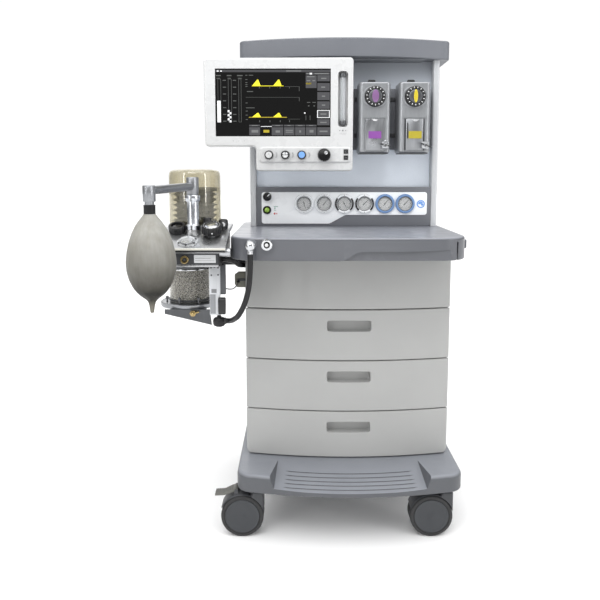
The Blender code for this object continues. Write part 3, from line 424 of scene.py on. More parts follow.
def lime_material():
    m = Mat("soda_lime")
    v = m.node("ShaderNodeTexVoronoi")
    v.inputs["Scale"].default_value = 225.0
    m.link(m.co, v.inputs["Vector"])
    cell = m.remap(v.outputs["Distance"], 0.0, 1.0, 0.0, 0.6)
    tone = m.remap(m.noise(150.0, 2.0), 0.0, 1.0)
    col = m.mix(tone, (0.300, 0.278, 0.225), (0.620, 0.580, 0.490))
    # painted shade: the cell rims are darkened as the shade in the gaps between granules
    col = m.mix(cell, col, (0.085, 0.078, 0.062))
    m.set(Base_Color=col, Roughness=0.85)
    inv = m.math("SUBTRACT", 1.0, cell)
    m.bump(inv, 1.0, 0.0030)
    return m.m


LIME = lime_material()
# ------------------------------------------------------------------ mesh helpers
def raw(name, bm, mat=None):
    bmesh.ops.recalc_face_normals(bm, faces=bm.faces)
    me = bpy.data.meshes.new(name)
    bm.to_mesh(me)
    bm.free()
    ob = bpy.data.objects.new(name, me)
    scene.collection.objects.link(ob)
    if mat is not None:
        me.materials.append(mat)
    return ob


def bake(ob):
    """Puts an object's modifiers and place into its mesh."""
    bpy.context.view_layer.update()
    dg = bpy.context.evaluated_depsgraph_get()
    me = bpy.data.meshes.new_from_object(ob.evaluated_get(dg), preserve_all_data_layers=True, depsgraph=dg)
    old = ob.data
    world = ob.matrix_world.copy()
    if ob.type != "MESH":
        new = bpy.data.objects.new(ob.name + "_m", me)
        scene.collection.objects.link(new)
        name = ob.name
        bpy.data.objects.remove(ob, do_unlink=True)
        new.name = name
        ob = new
    else:
        ob.modifiers.clear()
        ob.data = me
        bpy.data.meshes.remove(old)
    me.transform(world)
    ob.matrix_world = Matrix.Identity(4)
    return ob


def bevel(ob, width, segs=3, angle=40, weld=True):
    m = ob.modifiers.new("bevel", "BEVEL")
    m.width = width
    m.segments = segs
    m.limit_method = "ANGLE"
    m.angle_limit = rad(angle)
    m.use_clamp_overlap = True
    m.harden_normals = False
    return bake(ob)


def boolean(ob, others, op):
    for o in others:
        m = ob.modifiers.new(op.lower(), "BOOLEAN")
        m.operation = op
        m.solver = "EXACT"
        m.object = o
    ob = bake(ob)
    for o in others:
        bpy.data.objects.remove(o, do_unlink=True)
    return ob


def cut(ob, *others):
    return boolean(ob, others, "DIFFERENCE")


def join(ob, *others):
    return boolean(ob, others, "UNION")


def merged(name, *obs):
    """Several pieces as one object, each keeping its material."""
    bm = bmesh.new()
    mats = []
    for o in obs:
        o = bake(o) if o.type != "MESH" or o.modifiers else o
        base = len(bm.faces)
        bm.from_mesh(o.data)
        bm.faces.ensure_lookup_table()
        for f in bm.faces[base:]:
            mt = o.data.materials[f.material_index] if o.data.materials else None
            if mt not in mats:
                mats.append(mt)
            f.material_index = mats.index(mt)
        bpy.data.objects.remove(o, do_unlink=True)
    me = bpy.data.meshes.new(name)
    bm.to_mesh(me)
    bm.free()
    ob = bpy.data.objects.new(name, me)
    scene.collection.objects.link(ob)
    for mt in mats:
        me.materials.append(mt)
    return ob


MADE = {}


def put(ob, name, mat=None, body="chassis", repl=(), smooth=38, weight=False, sub=0):
    """Gives a piece its final name, finish and body."""
    if ob.type != "MESH" or ob.modifiers:
        ob = bake(ob)
    ob.name = name
    ob.data.name = name
    if mat is not None:
        ob.data.materials.clear()
        ob.data.materials.append(mat)
    ob.data.transform(Matrix.Translation(S))
    if sub:
        s = ob.modifiers.new("sub", "SUBSURF")
        s.levels = s.render_levels = sub
        ob = bake(ob)
    ob.data.shade_smooth()
    if smooth < 180:
        ob.data.set_sharp_from_angle(angle=rad(smooth))
    if weight:
        w = ob.modifiers.new("weight", "WEIGHTED_NORMAL")
        w.keep_sharp = True
        ob = bake(ob)
    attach(ob, body)
    for n in repl:
        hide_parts(n)
    MADE[name] = ob
    return ob


def box(name, x0, x1, y0, y1, z0, z1, r=0.0, segs=3, mat=None):
    bm = bmesh.new()
    bmesh.ops.create_cube(bm, size=1.0)
    for v in bm.verts:
        v.co = Vector(((x0 + x1) / 2 + v.co.x * (x1 - x0), (y0 + y1) / 2 + v.co.y * (y1 - y0), (z0 + z1) / 2 + v.co.z * (z1 - z0)))
    ob = raw(name, bm, mat)
    return bevel(ob, r, segs) if r else ob


def cyl(name, p0, p1, r, segs=40, r2=None, bev=0.0, mat=None, caps=True):
    p0, p1 = Vector(p0), Vector(p1)
    d = p1 - p0
    bm = bmesh.new()
    bmesh.ops.create_cone(bm, cap_ends=caps, segments=segs, radius1=r, radius2=r if r2 is None else r2, depth=d.length)
    ob = raw(name, bm, mat)
    if bev:
        ob = bevel(ob, bev, 3, 50)
    ob.data.transform(Matrix.Translation((p0 + p1) / 2) @ d.to_track_quat("Z", "Y").to_matrix().to_4x4())
    return ob


def prism(name, pts, a0, a1, axis="Z", r=0.0, segs=3, angle=50, mat=None):
    """A flat outline pushed along an axis. For axis Y the outline is (x, z), for X it is (y, z)."""
    bm = bmesh.new()
    vs = []
    for u, w in pts:
        vs.append(bm.verts.new((u, w, a0) if axis == "Z" else (u, a0, w) if axis == "Y" else (a0, u, w)))
    face = bm.faces.new(vs)
    ext = bmesh.ops.extrude_face_region(bm, geom=[face])
    step = (0, 0, a1 - a0) if axis == "Z" else (0, a1 - a0, 0) if axis == "Y" else (a1 - a0, 0, 0)
    bmesh.ops.translate(bm, vec=step, verts=[g for g in ext["geom"] if isinstance(g, bmesh.types.BMVert)])
    ob = raw(name, bm, mat)
    return bevel(ob, r, segs, angle) if r else ob


def turned(name, prof, loc=(0, 0, 0), axis="Z", steps=64, mat=None, sharp=False):
    """A turned piece; profile points are (radius, height). -Y turns local +z to the front."""
    bm = bmesh.new()
    rings = []
    for r, z in prof:
        if r < 1e-7:
            rings.append([bm.verts.new((0, 0, z))])
        else:
            rings.append([bm.verts.new((r * math.cos(TAU * k / steps), r * math.sin(TAU * k / steps), z)) for k in range(steps)])
    for a, b in zip(rings, rings[1:]):
        for k in range(steps):
            j = (k + 1) % steps
            if len(a) == 1 and len(b) == 1:
                break
            if len(a) == 1:
                bm.faces.new((a[0], b[j], b[k]))
            elif len(b) == 1:
                bm.faces.new((a[k], a[j], b[0]))
            else:
                bm.faces.new((a[k], a[j], b[j], b[k]))
    ob = raw(name, bm, mat)
    mt = Matrix.Translation(loc)
    if axis == "-Y":
        mt = mt @ Matrix.Rotation(rad(90), 4, "X")
    elif axis == "X":
        mt = mt @ Matrix.Rotation(rad(90), 4, "Y")
    ob.data.transform(mt)
    return ob


def bowed(hw, y_mid, y_corner, y_back, r_front, r_back, nf=40, nc=12, taper=0.0, y_ref=0.0, right=1.0):
    pts = []
    a = hw - r_front
    for i in range(nf + 1):
        x = -a + 2 * a * i / nf
        pts.append((x, y_mid + (y_corner - y_mid) * (x / a) ** 2))
    for i in range(1, nc + 1):
        t = rad(-90 + 90 * i / nc)
        pts.append((a + r_front * math.cos(t), y_corner + r_front + r_front * math.sin(t)))
    b = hw - r_back
    for i in range(0, nc + 1):
        t = rad(90 * i / nc)
        pts.append((b + r_back * math.cos(t), y_back - r_back + r_back * math.sin(t)))
    for i in range(0, nc + 1):
        t = rad(90 + 90 * i / nc)
        pts.append((-b + r_back * math.cos(t), y_back - r_back + r_back * math.sin(t)))
    for i in range(0, nc):
        t = rad(180 + 90 * i / nc)
        pts.append((-a + r_front * math.cos(t), y_corner + r_front + r_front * math.sin(t)))
    out = []
    for p in [(x * (right if x > 0 else 1.0) * (1 + taper * (y - y_ref)), y) for x, y in pts]:
        if not out or (Vector(p) - Vector(out[-1])).length > 0.0004:
            out.append(p)
    if (Vector(out[0]) - Vector(out[-1])).length < 0.0004:
        out.pop()
    return out


def rounded(corners, seg=8):
    """Outline from corners (x, z, radius)."""
    out = []
    n = len(corners)
    for i, (x, z, r) in enumerate(corners):
        p = Vector((x, z))
        if r <= 0:
            out.append((x, z))
            continue
        a = Vector(corners[i - 1][:2]) - p
        b = Vector(corners[(i + 1) % n][:2]) - p
        ang = a.angle(b)
        t = r / math.tan(ang / 2)
        p0, p1 = p + a.normalized() * t, p + b.normalized() * t
        c = p + (a.normalized() + b.normalized()).normalized() * (r / math.sin(ang / 2))
        v0, v1 = p0 - c, p1 - c
        full = v0.angle_signed(v1)
        for k in range(seg + 1):
            v = v0.copy()
            v.rotate(Matrix.Rotation(-full * k / seg, 2))
            out.append((c.x + v.x, c.y + v.y))
    return out


def rrect(x0, x1, z0, z1, r, seg=8):
    return rounded([(x0, z0, r), (x1, z0, r), (x1, z1, r), (x0, z1, r)], seg)


def smooth_path(pts, count):
    P = [Vector(p) for p in pts]
    P = [P[0] * 2 - P[1]] + P + [P[-1] * 2 - P[-2]]
    fine = []
    for i in range(1, len(P) - 2):
        for k in range(24):
            t = k / 24
            fine.append(0.5 * ((2 * P[i]) + (P[i + 1] - P[i - 1]) * t
                               + (2 * P[i - 1] - 5 * P[i] + 4 * P[i + 1] - P[i + 2]) * t * t
                               + (3 * P[i] - P[i - 1] - 3 * P[i + 1] + P[i + 2]) * t ** 3))
    fine.append(P[-2])
    d = [0.0]
    for a, b in zip(fine, fine[1:]):
        d.append(d[-1] + (b - a).length)
    out, j = [], 0
    for k in range(count):
        s = d[-1] * k / (count - 1)
        while j < len(d) - 2 and d[j + 1] < s:
            j += 1
        u = (s - d[j]) / max(d[j + 1] - d[j], 1e-9)
        out.append(fine[j].lerp(fine[j + 1], min(u, 1.0)))
    return out, d[-1]


def rod(name, pts, r, count=24, res=4, mat=None, smooth=True):
    """A bent round bar or wire as a closed mesh."""
    cu = bpy.data.curves.new(name, "CURVE")
    cu.dimensions = "3D"
    cu.bevel_depth = r
    cu.bevel_resolution = res
    cu.use_fill_caps = True
    path = smooth_path(pts, count)[0] if smooth else [Vector(p) for p in pts]
    sp = cu.splines.new("POLY")
    sp.points.add(len(path) - 1)
    for q, p in zip(sp.points, path):
        q.co = (*p, 1.0)
    ob = bpy.data.objects.new(name, cu)
    scene.collection.objects.link(ob)
    if mat is not None:
        cu.materials.append(mat)
    return bake(ob)


def plates(name, shapes, y0, y1, mat):
    """Thin plates facing front, from outlines in (x, z): printing, keys and picture elements."""
    bm = bmesh.new()
    for pts in shapes:
        if len(pts) == 4 and not isinstance(pts[0], tuple):
            x0, x1, z0, z1 = pts
            pts = [(x0, z0), (x1, z0), (x1, z1), (x0, z1)]
        a = [bm.verts.new((x, y0, z)) for x, z in pts]
        b = [bm.verts.new((x, y1, z)) for x, z in pts]
        n = len(pts)
        bm.faces.new(a)
        bm.faces.new(list(reversed(b)))
        for k in range(n):
            bm.faces.new((a[k], b[k], b[(k + 1) % n], a[(k + 1) % n]))
    return raw(name, bm, mat)


def arc(cx, cz, r0, r1, a0, a1, n=16):
    """Outline of a ring sector in (x, z), angles in degrees from +x."""
    if r0 < 1e-7:
        whole = abs(a1 - a0) > 359.0
        p = [(cx + r1 * math.cos(rad(a0 + (a1 - a0) * k / n)), cz + r1 * math.sin(rad(a0 + (a1 - a0) * k / n))) for k in range(n + (0 if whole else 1))]
        return p if whole else p + [(cx, cz)]
    p = [(cx + r1 * math.cos(rad(a0 + (a1 - a0) * k / n)), cz + r1 * math.sin(rad(a0 + (a1 - a0) * k / n))) for k in range(n + 1)]
    q = [(cx + r0 * math.cos(rad(a1 + (a0 - a1) * k / n)), cz + r0 * math.sin(rad(a1 + (a0 - a1) * k / n))) for k in range(n + 1)]
    return p + q


def screw_head(x, y, z, r, axis="-Y", mat=None):
    """A cheese-head screw with a cross slot."""
    h = turned("screw", [(0, r * 0.55), (r * 0.8, r * 0.5), (r, r * 0.3), (r, -r * 0.3), (0, -r * 0.3)], (x, y, z), axis, 20, mat or SCREW)
    if axis == "-Y":
        h = cut(h, box("slot", x - r * 0.7, x + r * 0.7, y - r, y - r * 0.3, z - r * 0.12, z + r * 0.12),
                box("slot", x - r * 0.12, x + r * 0.12, y - r, y - r * 0.3, z - r * 0.7, z + r * 0.7))
    return h


# ------------------------------------------------------------------ hoses and the sensor lead
def cord_piece(name, pts, r, count, mat):
    cu = bpy.data.curves.new(name, "CURVE")
    cu.dimensions = "3D"
    cu.bevel_depth = r
    cu.bevel_resolution = 6
    cu.use_fill_caps = True
    path, length = smooth_path(pts, count)
    sp = cu.splines.new("POLY")
    sp.points.add(len(path) - 1)
    for q, p in zip(sp.points, path):
        q.co = (*(p + S), 1.0)
    sp.use_smooth = True
    ob = bpy.data.objects.new(name + "_skin", cu)
    scene.collection.objects.link(ob)
    cu.materials.append(mat)
    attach(ob, "chassis")
    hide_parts(name)
    return ob


cord_piece("machine_hose", [(-0.3630, -0.2300, 0.8200), (-0.3585, -0.2300, 0.8200), (-0.3520, -0.2298, 0.8200), (-0.3400, -0.2200, 0.8160),
                            (-0.3310, -0.1900, 0.8070), (-0.3280, -0.1600, 0.7980), (-0.3240, -0.1250, 0.7890),
                            (-0.3140, -0.1055, 0.7860), (-0.3085, -0.1050, 0.7855), (-0.3026, -0.1050, 0.7855)],
           0.00765, 60, RUBBER)
cord_piece("fresh_gas_hose", [(-0.2750, -0.3400, 0.8467), (-0.2755, -0.3400, 0.8200), (-0.2768, -0.3390, 0.7906), (-0.2815, -0.3370, 0.7500),
                              (-0.2935, -0.3300, 0.7090), (-0.3110, -0.3120, 0.6760), (-0.3260, -0.2870, 0.6600),
                              (-0.3375, -0.2665, 0.6515), (-0.3450, -0.2604, 0.6496), (-0.3513, -0.2600, 0.6495)],
           0.0075, 72, RUBBER)
cord_piece("sensor_cable", [(-0.3507, -0.2530, 0.7395), (-0.3480, -0.2528, 0.7392), (-0.3420, -0.2460, 0.7370), (-0.3350, -0.2200, 0.7335),
                            (-0.3310, -0.1800, 0.7330), (-0.3300, -0.1400, 0.7355), (-0.3300, -0.1154, 0.7370)],
           0.0016, 48, BLACK)

# ------------------------------------------------------------------ floor, world and lights
floor_m = Mat("floor")
floor_m.set(Base_Color=floor_m.mix(floor_m.noise(0.8, 2.0), (0.94, 0.94, 0.94), (0.96, 0.96, 0.96)), Roughness=0.75)
floor = box("floor", -40, 40, -40, 40, -0.02, -0.0002)
floor.data.materials.append(floor_m.m)

world = bpy.data.worlds.new("studio")
scene.world = world
world.use_nodes = True
bg = world.node_tree.nodes["Background"]


def studio(tree, back):
    """A white sweep with a bright ceiling, three tall soft boxes and darker gaps between them."""
    def nd(kind, **inputs):
        x = tree.nodes.new(kind)
        for k, v in inputs.items():
            x.inputs[int(k[1:])].default_value = v
        return x

    def calc(op, a, b=None, clamp=False):
        x = tree.nodes.new("ShaderNodeMath")
        x.operation = op
        x.use_clamp = clamp
        for i, v in enumerate((a, b)):
            if v is None:
                continue
            if isinstance(v, (int, float)):
                x.inputs[i].default_value = v
            else:
                tree.links.new(v, x.inputs[i])
        return x.outputs[0]

    def ramp(v, lo, hi, a, b):
        x = tree.nodes.new("ShaderNodeMapRange")
        x.interpolation_type = "SMOOTHSTEP"
        tree.links.new(v, x.inputs["Value"])
        for k, val in (("From Min", lo), ("From Max", hi), ("To Min", a), ("To Max", b)):
            x.inputs[k].default_value = val
        return x.outputs["Result"]

    co = tree.nodes.new("ShaderNodeTexCoord")
    sep = tree.nodes.new("ShaderNodeSeparateXYZ")
    tree.links.new(co.outputs["Generated"], sep.inputs[0])
    x, y, z = sep.outputs
    az = calc("ARCTAN2", y, x)
    wave = calc("COSINE", calc("ADD", calc("MULTIPLY", az, 3.0), math.radians(3 * 20.0)))
    boxes = calc("MULTIPLY", ramp(wave, 0.72, 0.90, 0.0, BOX_GLOW), calc("MULTIPLY", ramp(z, -0.30, -0.10, 0.0, 1.0), ramp(z, 0.62, 0.80, 1.0, 0.0)))
    gaps = calc("MULTIPLY", ramp(wave, -0.95, 0.30, GAP_DROP, 0.0), ramp(z, 0.45, 0.85, 1.0, 0.0))
    room = calc("MULTIPLY", ramp(z, -0.05, 0.90, ROOM_LOW, ROOM_TOP), calc("SUBTRACT", 1.0, gaps))
    lit_ = calc("ADD", room, boxes)
    for at, glow in ((-130.0, STRIP_GLOW), (-32.0, STRIP_GLOW)):
        near = calc("COSINE", calc("SUBTRACT", az, math.radians(at)))
        band = ramp(near, math.cos(math.radians(2.4)), math.cos(math.radians(1.4)), 0.0, glow)
        lit_ = calc("ADD", lit_, calc("MULTIPLY", band, calc("MULTIPLY", ramp(z, -0.12, -0.02, 0.0, 1.0), ramp(z, 0.45, 0.60, 1.0, 0.0))))
    path = tree.nodes.new("ShaderNodeLightPath")
    mix = tree.nodes.new("ShaderNodeMix")
    mix.data_type = "FLOAT"
    tree.links.new(path.outputs["Is Camera Ray"], mix.inputs["Factor"])
    tree.links.new(lit_, mix.inputs["A"])
    mix.inputs["B"].default_value = 1.02
    tree.links.new(mix.outputs["Result"], back.inputs["Strength"])


BOX_GLOW, GAP_DROP, ROOM_LOW, ROOM_TOP = 0.80, 0.55, 0.40, 1.55
STRIP_GLOW = 10.0
bg.inputs["Color"].default_value = (1.0, 1.0, 1.0, 1.0)
studio(world.node_tree, bg)


def area(name, loc, target, size, power, color=(1, 1, 1)):
    d = bpy.data.lights.new(name, "AREA")
    d.shape = "RECTANGLE"
    d.size, d.size_y = size
    d.energy = power
    d.color = color
    o = bpy.data.objects.new(name, d)
    o.location = Vector(loc)
    o.rotation_euler = (Vector(target) - Vector(loc)).to_track_quat("-Z", "Y").to_euler()
    scene.collection.objects.link(o)
    return o


area("key", (-0.5, -2.2, 3.2), (0.1, 0, 0.8), (1.8, 1.2), 24.0)
area("top", (0.2, -0.9, 3.4), (0.1, -0.2, 0.8), (2.4, 1.6), 24.0)
area("fill", (2.8, -2.0, 1.6), (0.1, 0, 0.8), (1.2, 2.2), 2.5)
area("front", (0.3, -3.2, 0.75), (0.05, 0.1, 1.1), (1.6, 0.6), 3.5)
scene.view_settings.view_transform = "Standard"


def offset_plan(d, hw, y_mid, y_corner, y_back, r_front, r_back, **kw):
    pts = []
    nf, nc = kw.get("nf", 40), kw.get("nc", 12)
    taper, y_ref, right = kw.get("taper", 0.0), kw.get("y_ref", 0.0), kw.get("right", 1.0)
    hw, y_mid, y_corner, y_back = hw - d, y_mid + d, y_corner + d, y_back - d
    r_front, r_back = max(r_front - d, 0.0008), max(r_back - d, 0.0008)
    a = hw - r_front
    for i in range(nf + 1):
        x = -a + 2 * a * i / nf
        pts.append((x, y_mid + (y_corner - y_mid) * (x / a) ** 2))
    for i in range(1, nc + 1):
        t = rad(-90 + 90 * i / nc)
        pts.append((a + r_front * math.cos(t), y_corner + r_front + r_front * math.sin(t)))
    b = hw - r_back
    for i in range(0, nc + 1):
        t = rad(90 * i / nc)
        pts.append((b + r_back * math.cos(t), y_back - r_back + r_back * math.sin(t)))
    for i in range(0, nc + 1):
        t = rad(90 + 90 * i / nc)
        pts.append((-b + r_back * math.cos(t), y_back - r_back + r_back * math.sin(t)))
    for i in range(0, nc):
        t = rad(180 + 90 * i / nc)
        pts.append((-a + r_front * math.cos(t), y_corner + r_front + r_front * math.sin(t)))
    return [(x * (right if x > 0 else 1.0) * (1 + taper * (y - y_ref)), y) for x, y in pts]


def slab(name, z0, z1, r_top, r_bot, plan, segs=6, mat=None):
    """A slab over a plan outline, with rounded upper and lower edges."""
    rings = []
    if r_bot > 0:
        for k in range(segs + 1):
            t = rad(90 * k / segs)
            rings.append((r_bot * (1 - math.sin(t)), z0 + r_bot * (1 - math.cos(t))))
    else:
        rings.append((0.0, z0))
    if r_top > 0:
        for k in range(segs + 1):
            t = rad(90 * k / segs)
            rings.append((r_top * (1 - math.cos(t)), z1 - r_top + r_top * math.sin(t)))
    else:
        rings.append((0.0, z1))
    bm = bmesh.new()
    loops = [[bm.verts.new((x, y, z)) for x, y in plan(d)] for d, z in rings]
    n = len(loops[0])
    bm.faces.new(list(reversed(loops[0])))
    bm.faces.new(loops[-1])
    for a, b in zip(loops, loops[1:]):
        for k in range(n):
            bm.faces.new((a[k], a[(k + 1) % n], b[(k + 1) % n], b[k]))
    bmesh.ops.remove_doubles(bm, verts=bm.verts, dist=0.00002)
    bmesh.ops.dissolve_degenerate(bm, dist=0.00001, edges=bm.edges)
    return raw(name, bm, mat)


# ------------------------------------------------------------------ base with the ribbed footrest
base = slab("base", 0.1500, 0.2020, 0.0130, 0.0030,
            lambda d: offset_plan(d, 0.329, -0.307, -0.275, 0.335, 0.050, 0.040, taper=0.02, nf=56, nc=14), 7)


def slope_z(y):
    return 0.2045 + (y + 0.168) * (0.0405 / 0.132)


step = bmesh.new()
secs = []
for y, zf, w in ((-0.162, 0.2064, 0.209), (-0.300, 0.1640, 0.219), (-0.318, 0.1612, 0.221), (-0.345, 0.1600, 0.223)):
    up = 0.245
    secs.append([step.verts.new((-w - (up - zf) * 0.42, y, up)), step.verts.new((-w, y, zf)),
                 step.verts.new((w, y, zf)), step.verts.new((w + (up - zf) * 0.42, y, up))])
step.faces.new(secs[0])
step.faces.new(list(reversed(secs[-1])))
for a, b in zip(secs, secs[1:]):
    for k in range(4):
        step.faces.new((a[k], a[(k + 1) % 4], b[(k + 1) % 4], b[k]))
base = cut(base, raw("step_cut", step))
base = bevel(base, 0.0042, 3, 24)
cutters = [box("under_cut", -0.225, 0.225, -0.150, 0.315, 0.10, 0.194), box("under_cut2", -0.312, 0.312, -0.150, 0.160, 0.10, 0.194)]
for sx in (-1, 1):
    for sy in (-0.220, 0.235):
        cutters.append(cyl("socket_cut", (sx * 0.277, sy, 0.12), (sx * 0.277, sy, 0.1815), 0.0103, 24))
for yg in (-0.2321, -0.2480, -0.2637, -0.2783, -0.2935):
    wg = 0.187 + (-0.2321 - yg) * 0.10
    pts = []
    for k in range(29):
        x = -wg + 2 * wg * k / 28
        y = yg + 0.0112 * (x / wg) ** 2
        end = min(1.0, (wg - abs(x)) / 0.012)
        pts.append((x, y, slope_z(y) + 0.0004 + 0.0022 * (1 - end)))
    cutters.append(rod("groove_cut", pts, 0.0030, 29, 3, smooth=False))
base = cut(base, *cutters)
put(base, "base_shell", GREY_BASE_PAINTED_LIGHT, repl=["base_moulding"], smooth=34, weight=True)

# ------------------------------------------------------------------ castors
WR = 0.0625
hood_pts = [(0.0268, -0.004), (0.0268, 0.0700), (0.0225, 0.0745), (-0.004, 0.0745)]
for k in range(0, 15):
    t = rad(66 + (160 - 66) * k / 14)
    hood_pts.append((-0.036 + 0.0672 * math.cos(t), 0.0672 * math.sin(t)))
for k in range(0, 21):
    t = rad(160 + (352 - 160) * k / 20)
    hood_pts.append((-0.036 + 0.0500 * math.cos(t), 0.0500 * math.sin(t)))
for tag, px, py in (("fl", -0.277, -0.220), ("fr", 0.277, -0.220), ("rl", -0.277, 0.235), ("rr", 0.277, 0.235)):
    turn = -1 if tag == "rl" else 1
    ax = px - turn * 0.036
    hood = prism("hood", [(px + turn * u, WR + w) for u, w in hood_pts], py - 0.0272, py + 0.0272, "Y", 0.0060, 4, 60)
    cuts = [cyl("hood_cut", (ax, py + s * 0.0078, WR), (ax, py + s * 0.04, WR), 0.0641, 72) for s in (-1, 1)]
    cuts.append(cyl("hood_bore", (ax, py - 0.02, WR), (ax, py + 0.02, WR), 0.0054, 16))
    hood = cut(hood, *cuts)
    head = turned("fork_head", [(0, 0.1497), (0.0190, 0.1497), (0.0215, 0.1470), (0.0215, 0.1300), (0, 0.1300)], (px, py, 0), "Z", 40)
    stem = cyl("fork_stem", (px, py, 0.14), (px, py, 0.180), 0.0098, 24, bev=0.0012)
    hood = join(hood, head, stem)
    if tag == "fl":
        ears = []
        for s in (-1, 1):
            y = py + s * 0.0190
            ears.append(prism("fork_ear", [(px - 0.061, 0.1232), (px - 0.047, 0.1268), (px - 0.048, 0.1420), (px - 0.058, 0.1420)],
                              y - 0.0022, y + 0.0022, "Y", 0.0008, 2))
        hood = join(hood, *ears)
    put(hood, f"castor_hood_{tag}", CHAR, f"castor_fork_{tag}", [f"castor_fork_{tag}"], 34, weight=True)
    parts = []
    for s in (-1, 1):
        # tyre with a rounded shoulder
        tp = [(0.0505, 0.0090), (0.0600, 0.0088), (0.0616, 0.0096), (0.0625, 0.0120), (0.0625, 0.0215), (0.0619, 0.0242),
              (0.0602, 0.0262), (0.0575, 0.0270), (0.0535, 0.0272), (0.0528, 0.0258), (0.0512, 0.0256), (0.0505, 0.0262)]
        parts.append(turned("tyre", [(r, s * z) for r, z in tp + tp[:1]], (ax, py, WR), "-Y", 96, TREAD))
        # dished cover disc with a raised lip and a small centre
        dp = [(0, 0.0258), (0.0050, 0.0259), (0.0062, 0.0253), (0.0200, 0.0250), (0.0380, 0.0256), (0.0455, 0.0266),
              (0.0475, 0.0275), (0.0496, 0.0272), (0.0503, 0.0262), (0.0505, 0.0090), (0, 0.0090)]
        parts.append(turned("disc", [(r, s * z) for r, z in dp], (ax, py, WR), "-Y", 96, CHAR_DK))
    parts.append(cyl("axle", (ax, py - 0.0100, WR), (ax, py + 0.0100, WR), 0.0050, 24, mat=STEEL))
    put(merged("wheels", *parts), f"castor_pair_{tag}", None, f"castor_wheels_{tag}", [f"castor_wheels_{tag}"], 40)

# brake pedal: ribbed tread plate that hooks over the hood
PY = -0.220
ped = prism("pedal", [(-0.3935, 0.1205), (-0.3660, 0.1220), (-0.3360, 0.1330), (-0.3300, 0.1330), (-0.3262, 0.1375),
                      (-0.3300, 0.1420), (-0.3360, 0.1430), (-0.3670, 0.1282), (-0.3935, 0.1268)],
            PY - 0.0160, PY + 0.0160, "Y", 0.0012, 2, 20)
ribs = []
for k in range(11):
    x = -0.3915 + 0.0053 * k
    if x < -0.3670:
        z = 0.1268 + (x + 0.3935) * 0.053
    else:
        z = 0.1282 + (x + 0.3670) * 0.477
    if x > -0.3420:
        continue
    ribs.append(prism("rib", [(x - 0.0013, z - 0.001), (x + 0.0013, z - 0.001), (x + 0.0009, z + 0.0013), (x - 0.0009, z + 0.0013)],
                      PY - 0.0150, PY + 0.0150, "Y"))
ped = join(ped, *ribs)
put(ped, "brake_tread", OLIVE_LT, "brake_pedal", ["brake_pedal"], 30)

# ------------------------------------------------------------------ cabinet shell keeps its CAD shape
sh = frame["nodes"]["cabinet_shell"]
for k in range(len(sh.material_slots)):
    sh.material_slots[k].material = SHELL
bv = sh.modifiers.new("edge", "BEVEL")
bv.width = 0.0018
bv.segments = 2
bv.limit_method = "ANGLE"
bv.angle_limit = rad(50)


def front_slab(name, z0, z1):
    return slab(name, z0, z1, 0.0030, 0.0030,
                lambda d: offset_plan(d, 0.3075, -0.163, -0.131, -0.1222 + d, 0.0074, 0.0008, nf=56, nc=8), 5, WARM)


def grip_cut(zc):
    """Cutter for a pull recess: a rounded slot, a little wider at the mouth."""
    bm = bmesh.new()
    rings = []
    for y, g in ((-0.2000, 0.0030), (-0.1640, 0.0022), (-0.1600, 0.0004), (-0.1560, 0.0), (-0.1385, 0.0), (-0.1358, -0.0012), (-0.1350, -0.0040)):
        rings.append([bm.verts.new((x, y, z)) for x, z in rrect(-0.0630 - g, 0.0670 + g, zc - 0.0155 - g, zc + 0.0155 + g, 0.0070 + g * 0.5, 8)])
    n = len(rings[0])
    bm.faces.new(rings[0])
    bm.faces.new(list(reversed(rings[-1])))
    for a, b in zip(rings, rings[1:]):
        for k in range(n):
            bm.faces.new((a[k], a[(k + 1) % n], b[(k + 1) % n], b[k]))
    return raw("grip_cut", bm)


panel = front_slab("top_front", 0.6613, 0.8248)
panel = cut(panel, slab("hollow", 0.6653, 0.8208, 0, 0, lambda d: offset_plan(d, 0.297, -0.159, -0.1275, -0.100, 0.004, 0.001, nf=20, nc=3)))
put(panel, "top_front", WARM, repl=["top_panel"], smooth=30, weight=True)
for i, (z0, z1) in enumerate(((0.5063, 0.6587), (0.3503, 0.5037), (0.2056, 0.3477))):
    n = i + 1
    zc = z1 - 0.0480
    fr = front_slab(f"drawer_front_{n}", z0, z1)
    if n == 3:
        # the lowest front has large lower corners
        keep = prism("keep", rounded([(-0.3085, z0 - 0.001, 0.024), (0.3085, z0 - 0.001, 0.024), (0.3085, z1 + 0.01, 0), (-0.3085, z1 + 0.01, 0)], 10),
                     -0.20, -0.10, "Y")
        fr = boolean(fr, [keep], "INTERSECT")
        fr = bevel(fr, 0.0022, 3, 50)
    fr = cut(fr, grip_cut(zc))
    put(fr, f"drawer_front_{n}", WARM, f"drawer_{n}", [f"drawer_{n}"], 30, weight=True)
    bx = box("bin", -0.2755, 0.2755, -0.1219, 0.2650, z0 + 0.012, z1 - 0.030, 0.0010, 2)
    bx = cut(bx, box("bin_cut", -0.2730, 0.2730, -0.1190, 0.2625, z0 + 0.015, z1 + 0.01))
    lip = [box("lip", s * 0.2755 - 0.0026, s * 0.2755 + 0.0026, -0.1215, 0.2640, z1 - 0.0322, z1 - 0.0300, 0.0008, 2) for s in (-1, 1)]
    put(join(bx, *lip), f"drawer_bin_{n}", SHELL, f"drawer_{n}", smooth=30)

# ------------------------------------------------------------------ worktop
def wt_plan(d, inset=0.0):
    return offset_plan(d + inset, 0.338, -0.322, -0.315, 0.306, 0.085, 0.030, taper=0.070, y_ref=-0.22, nf=56, nc=20, right=0.3165 / 0.338)


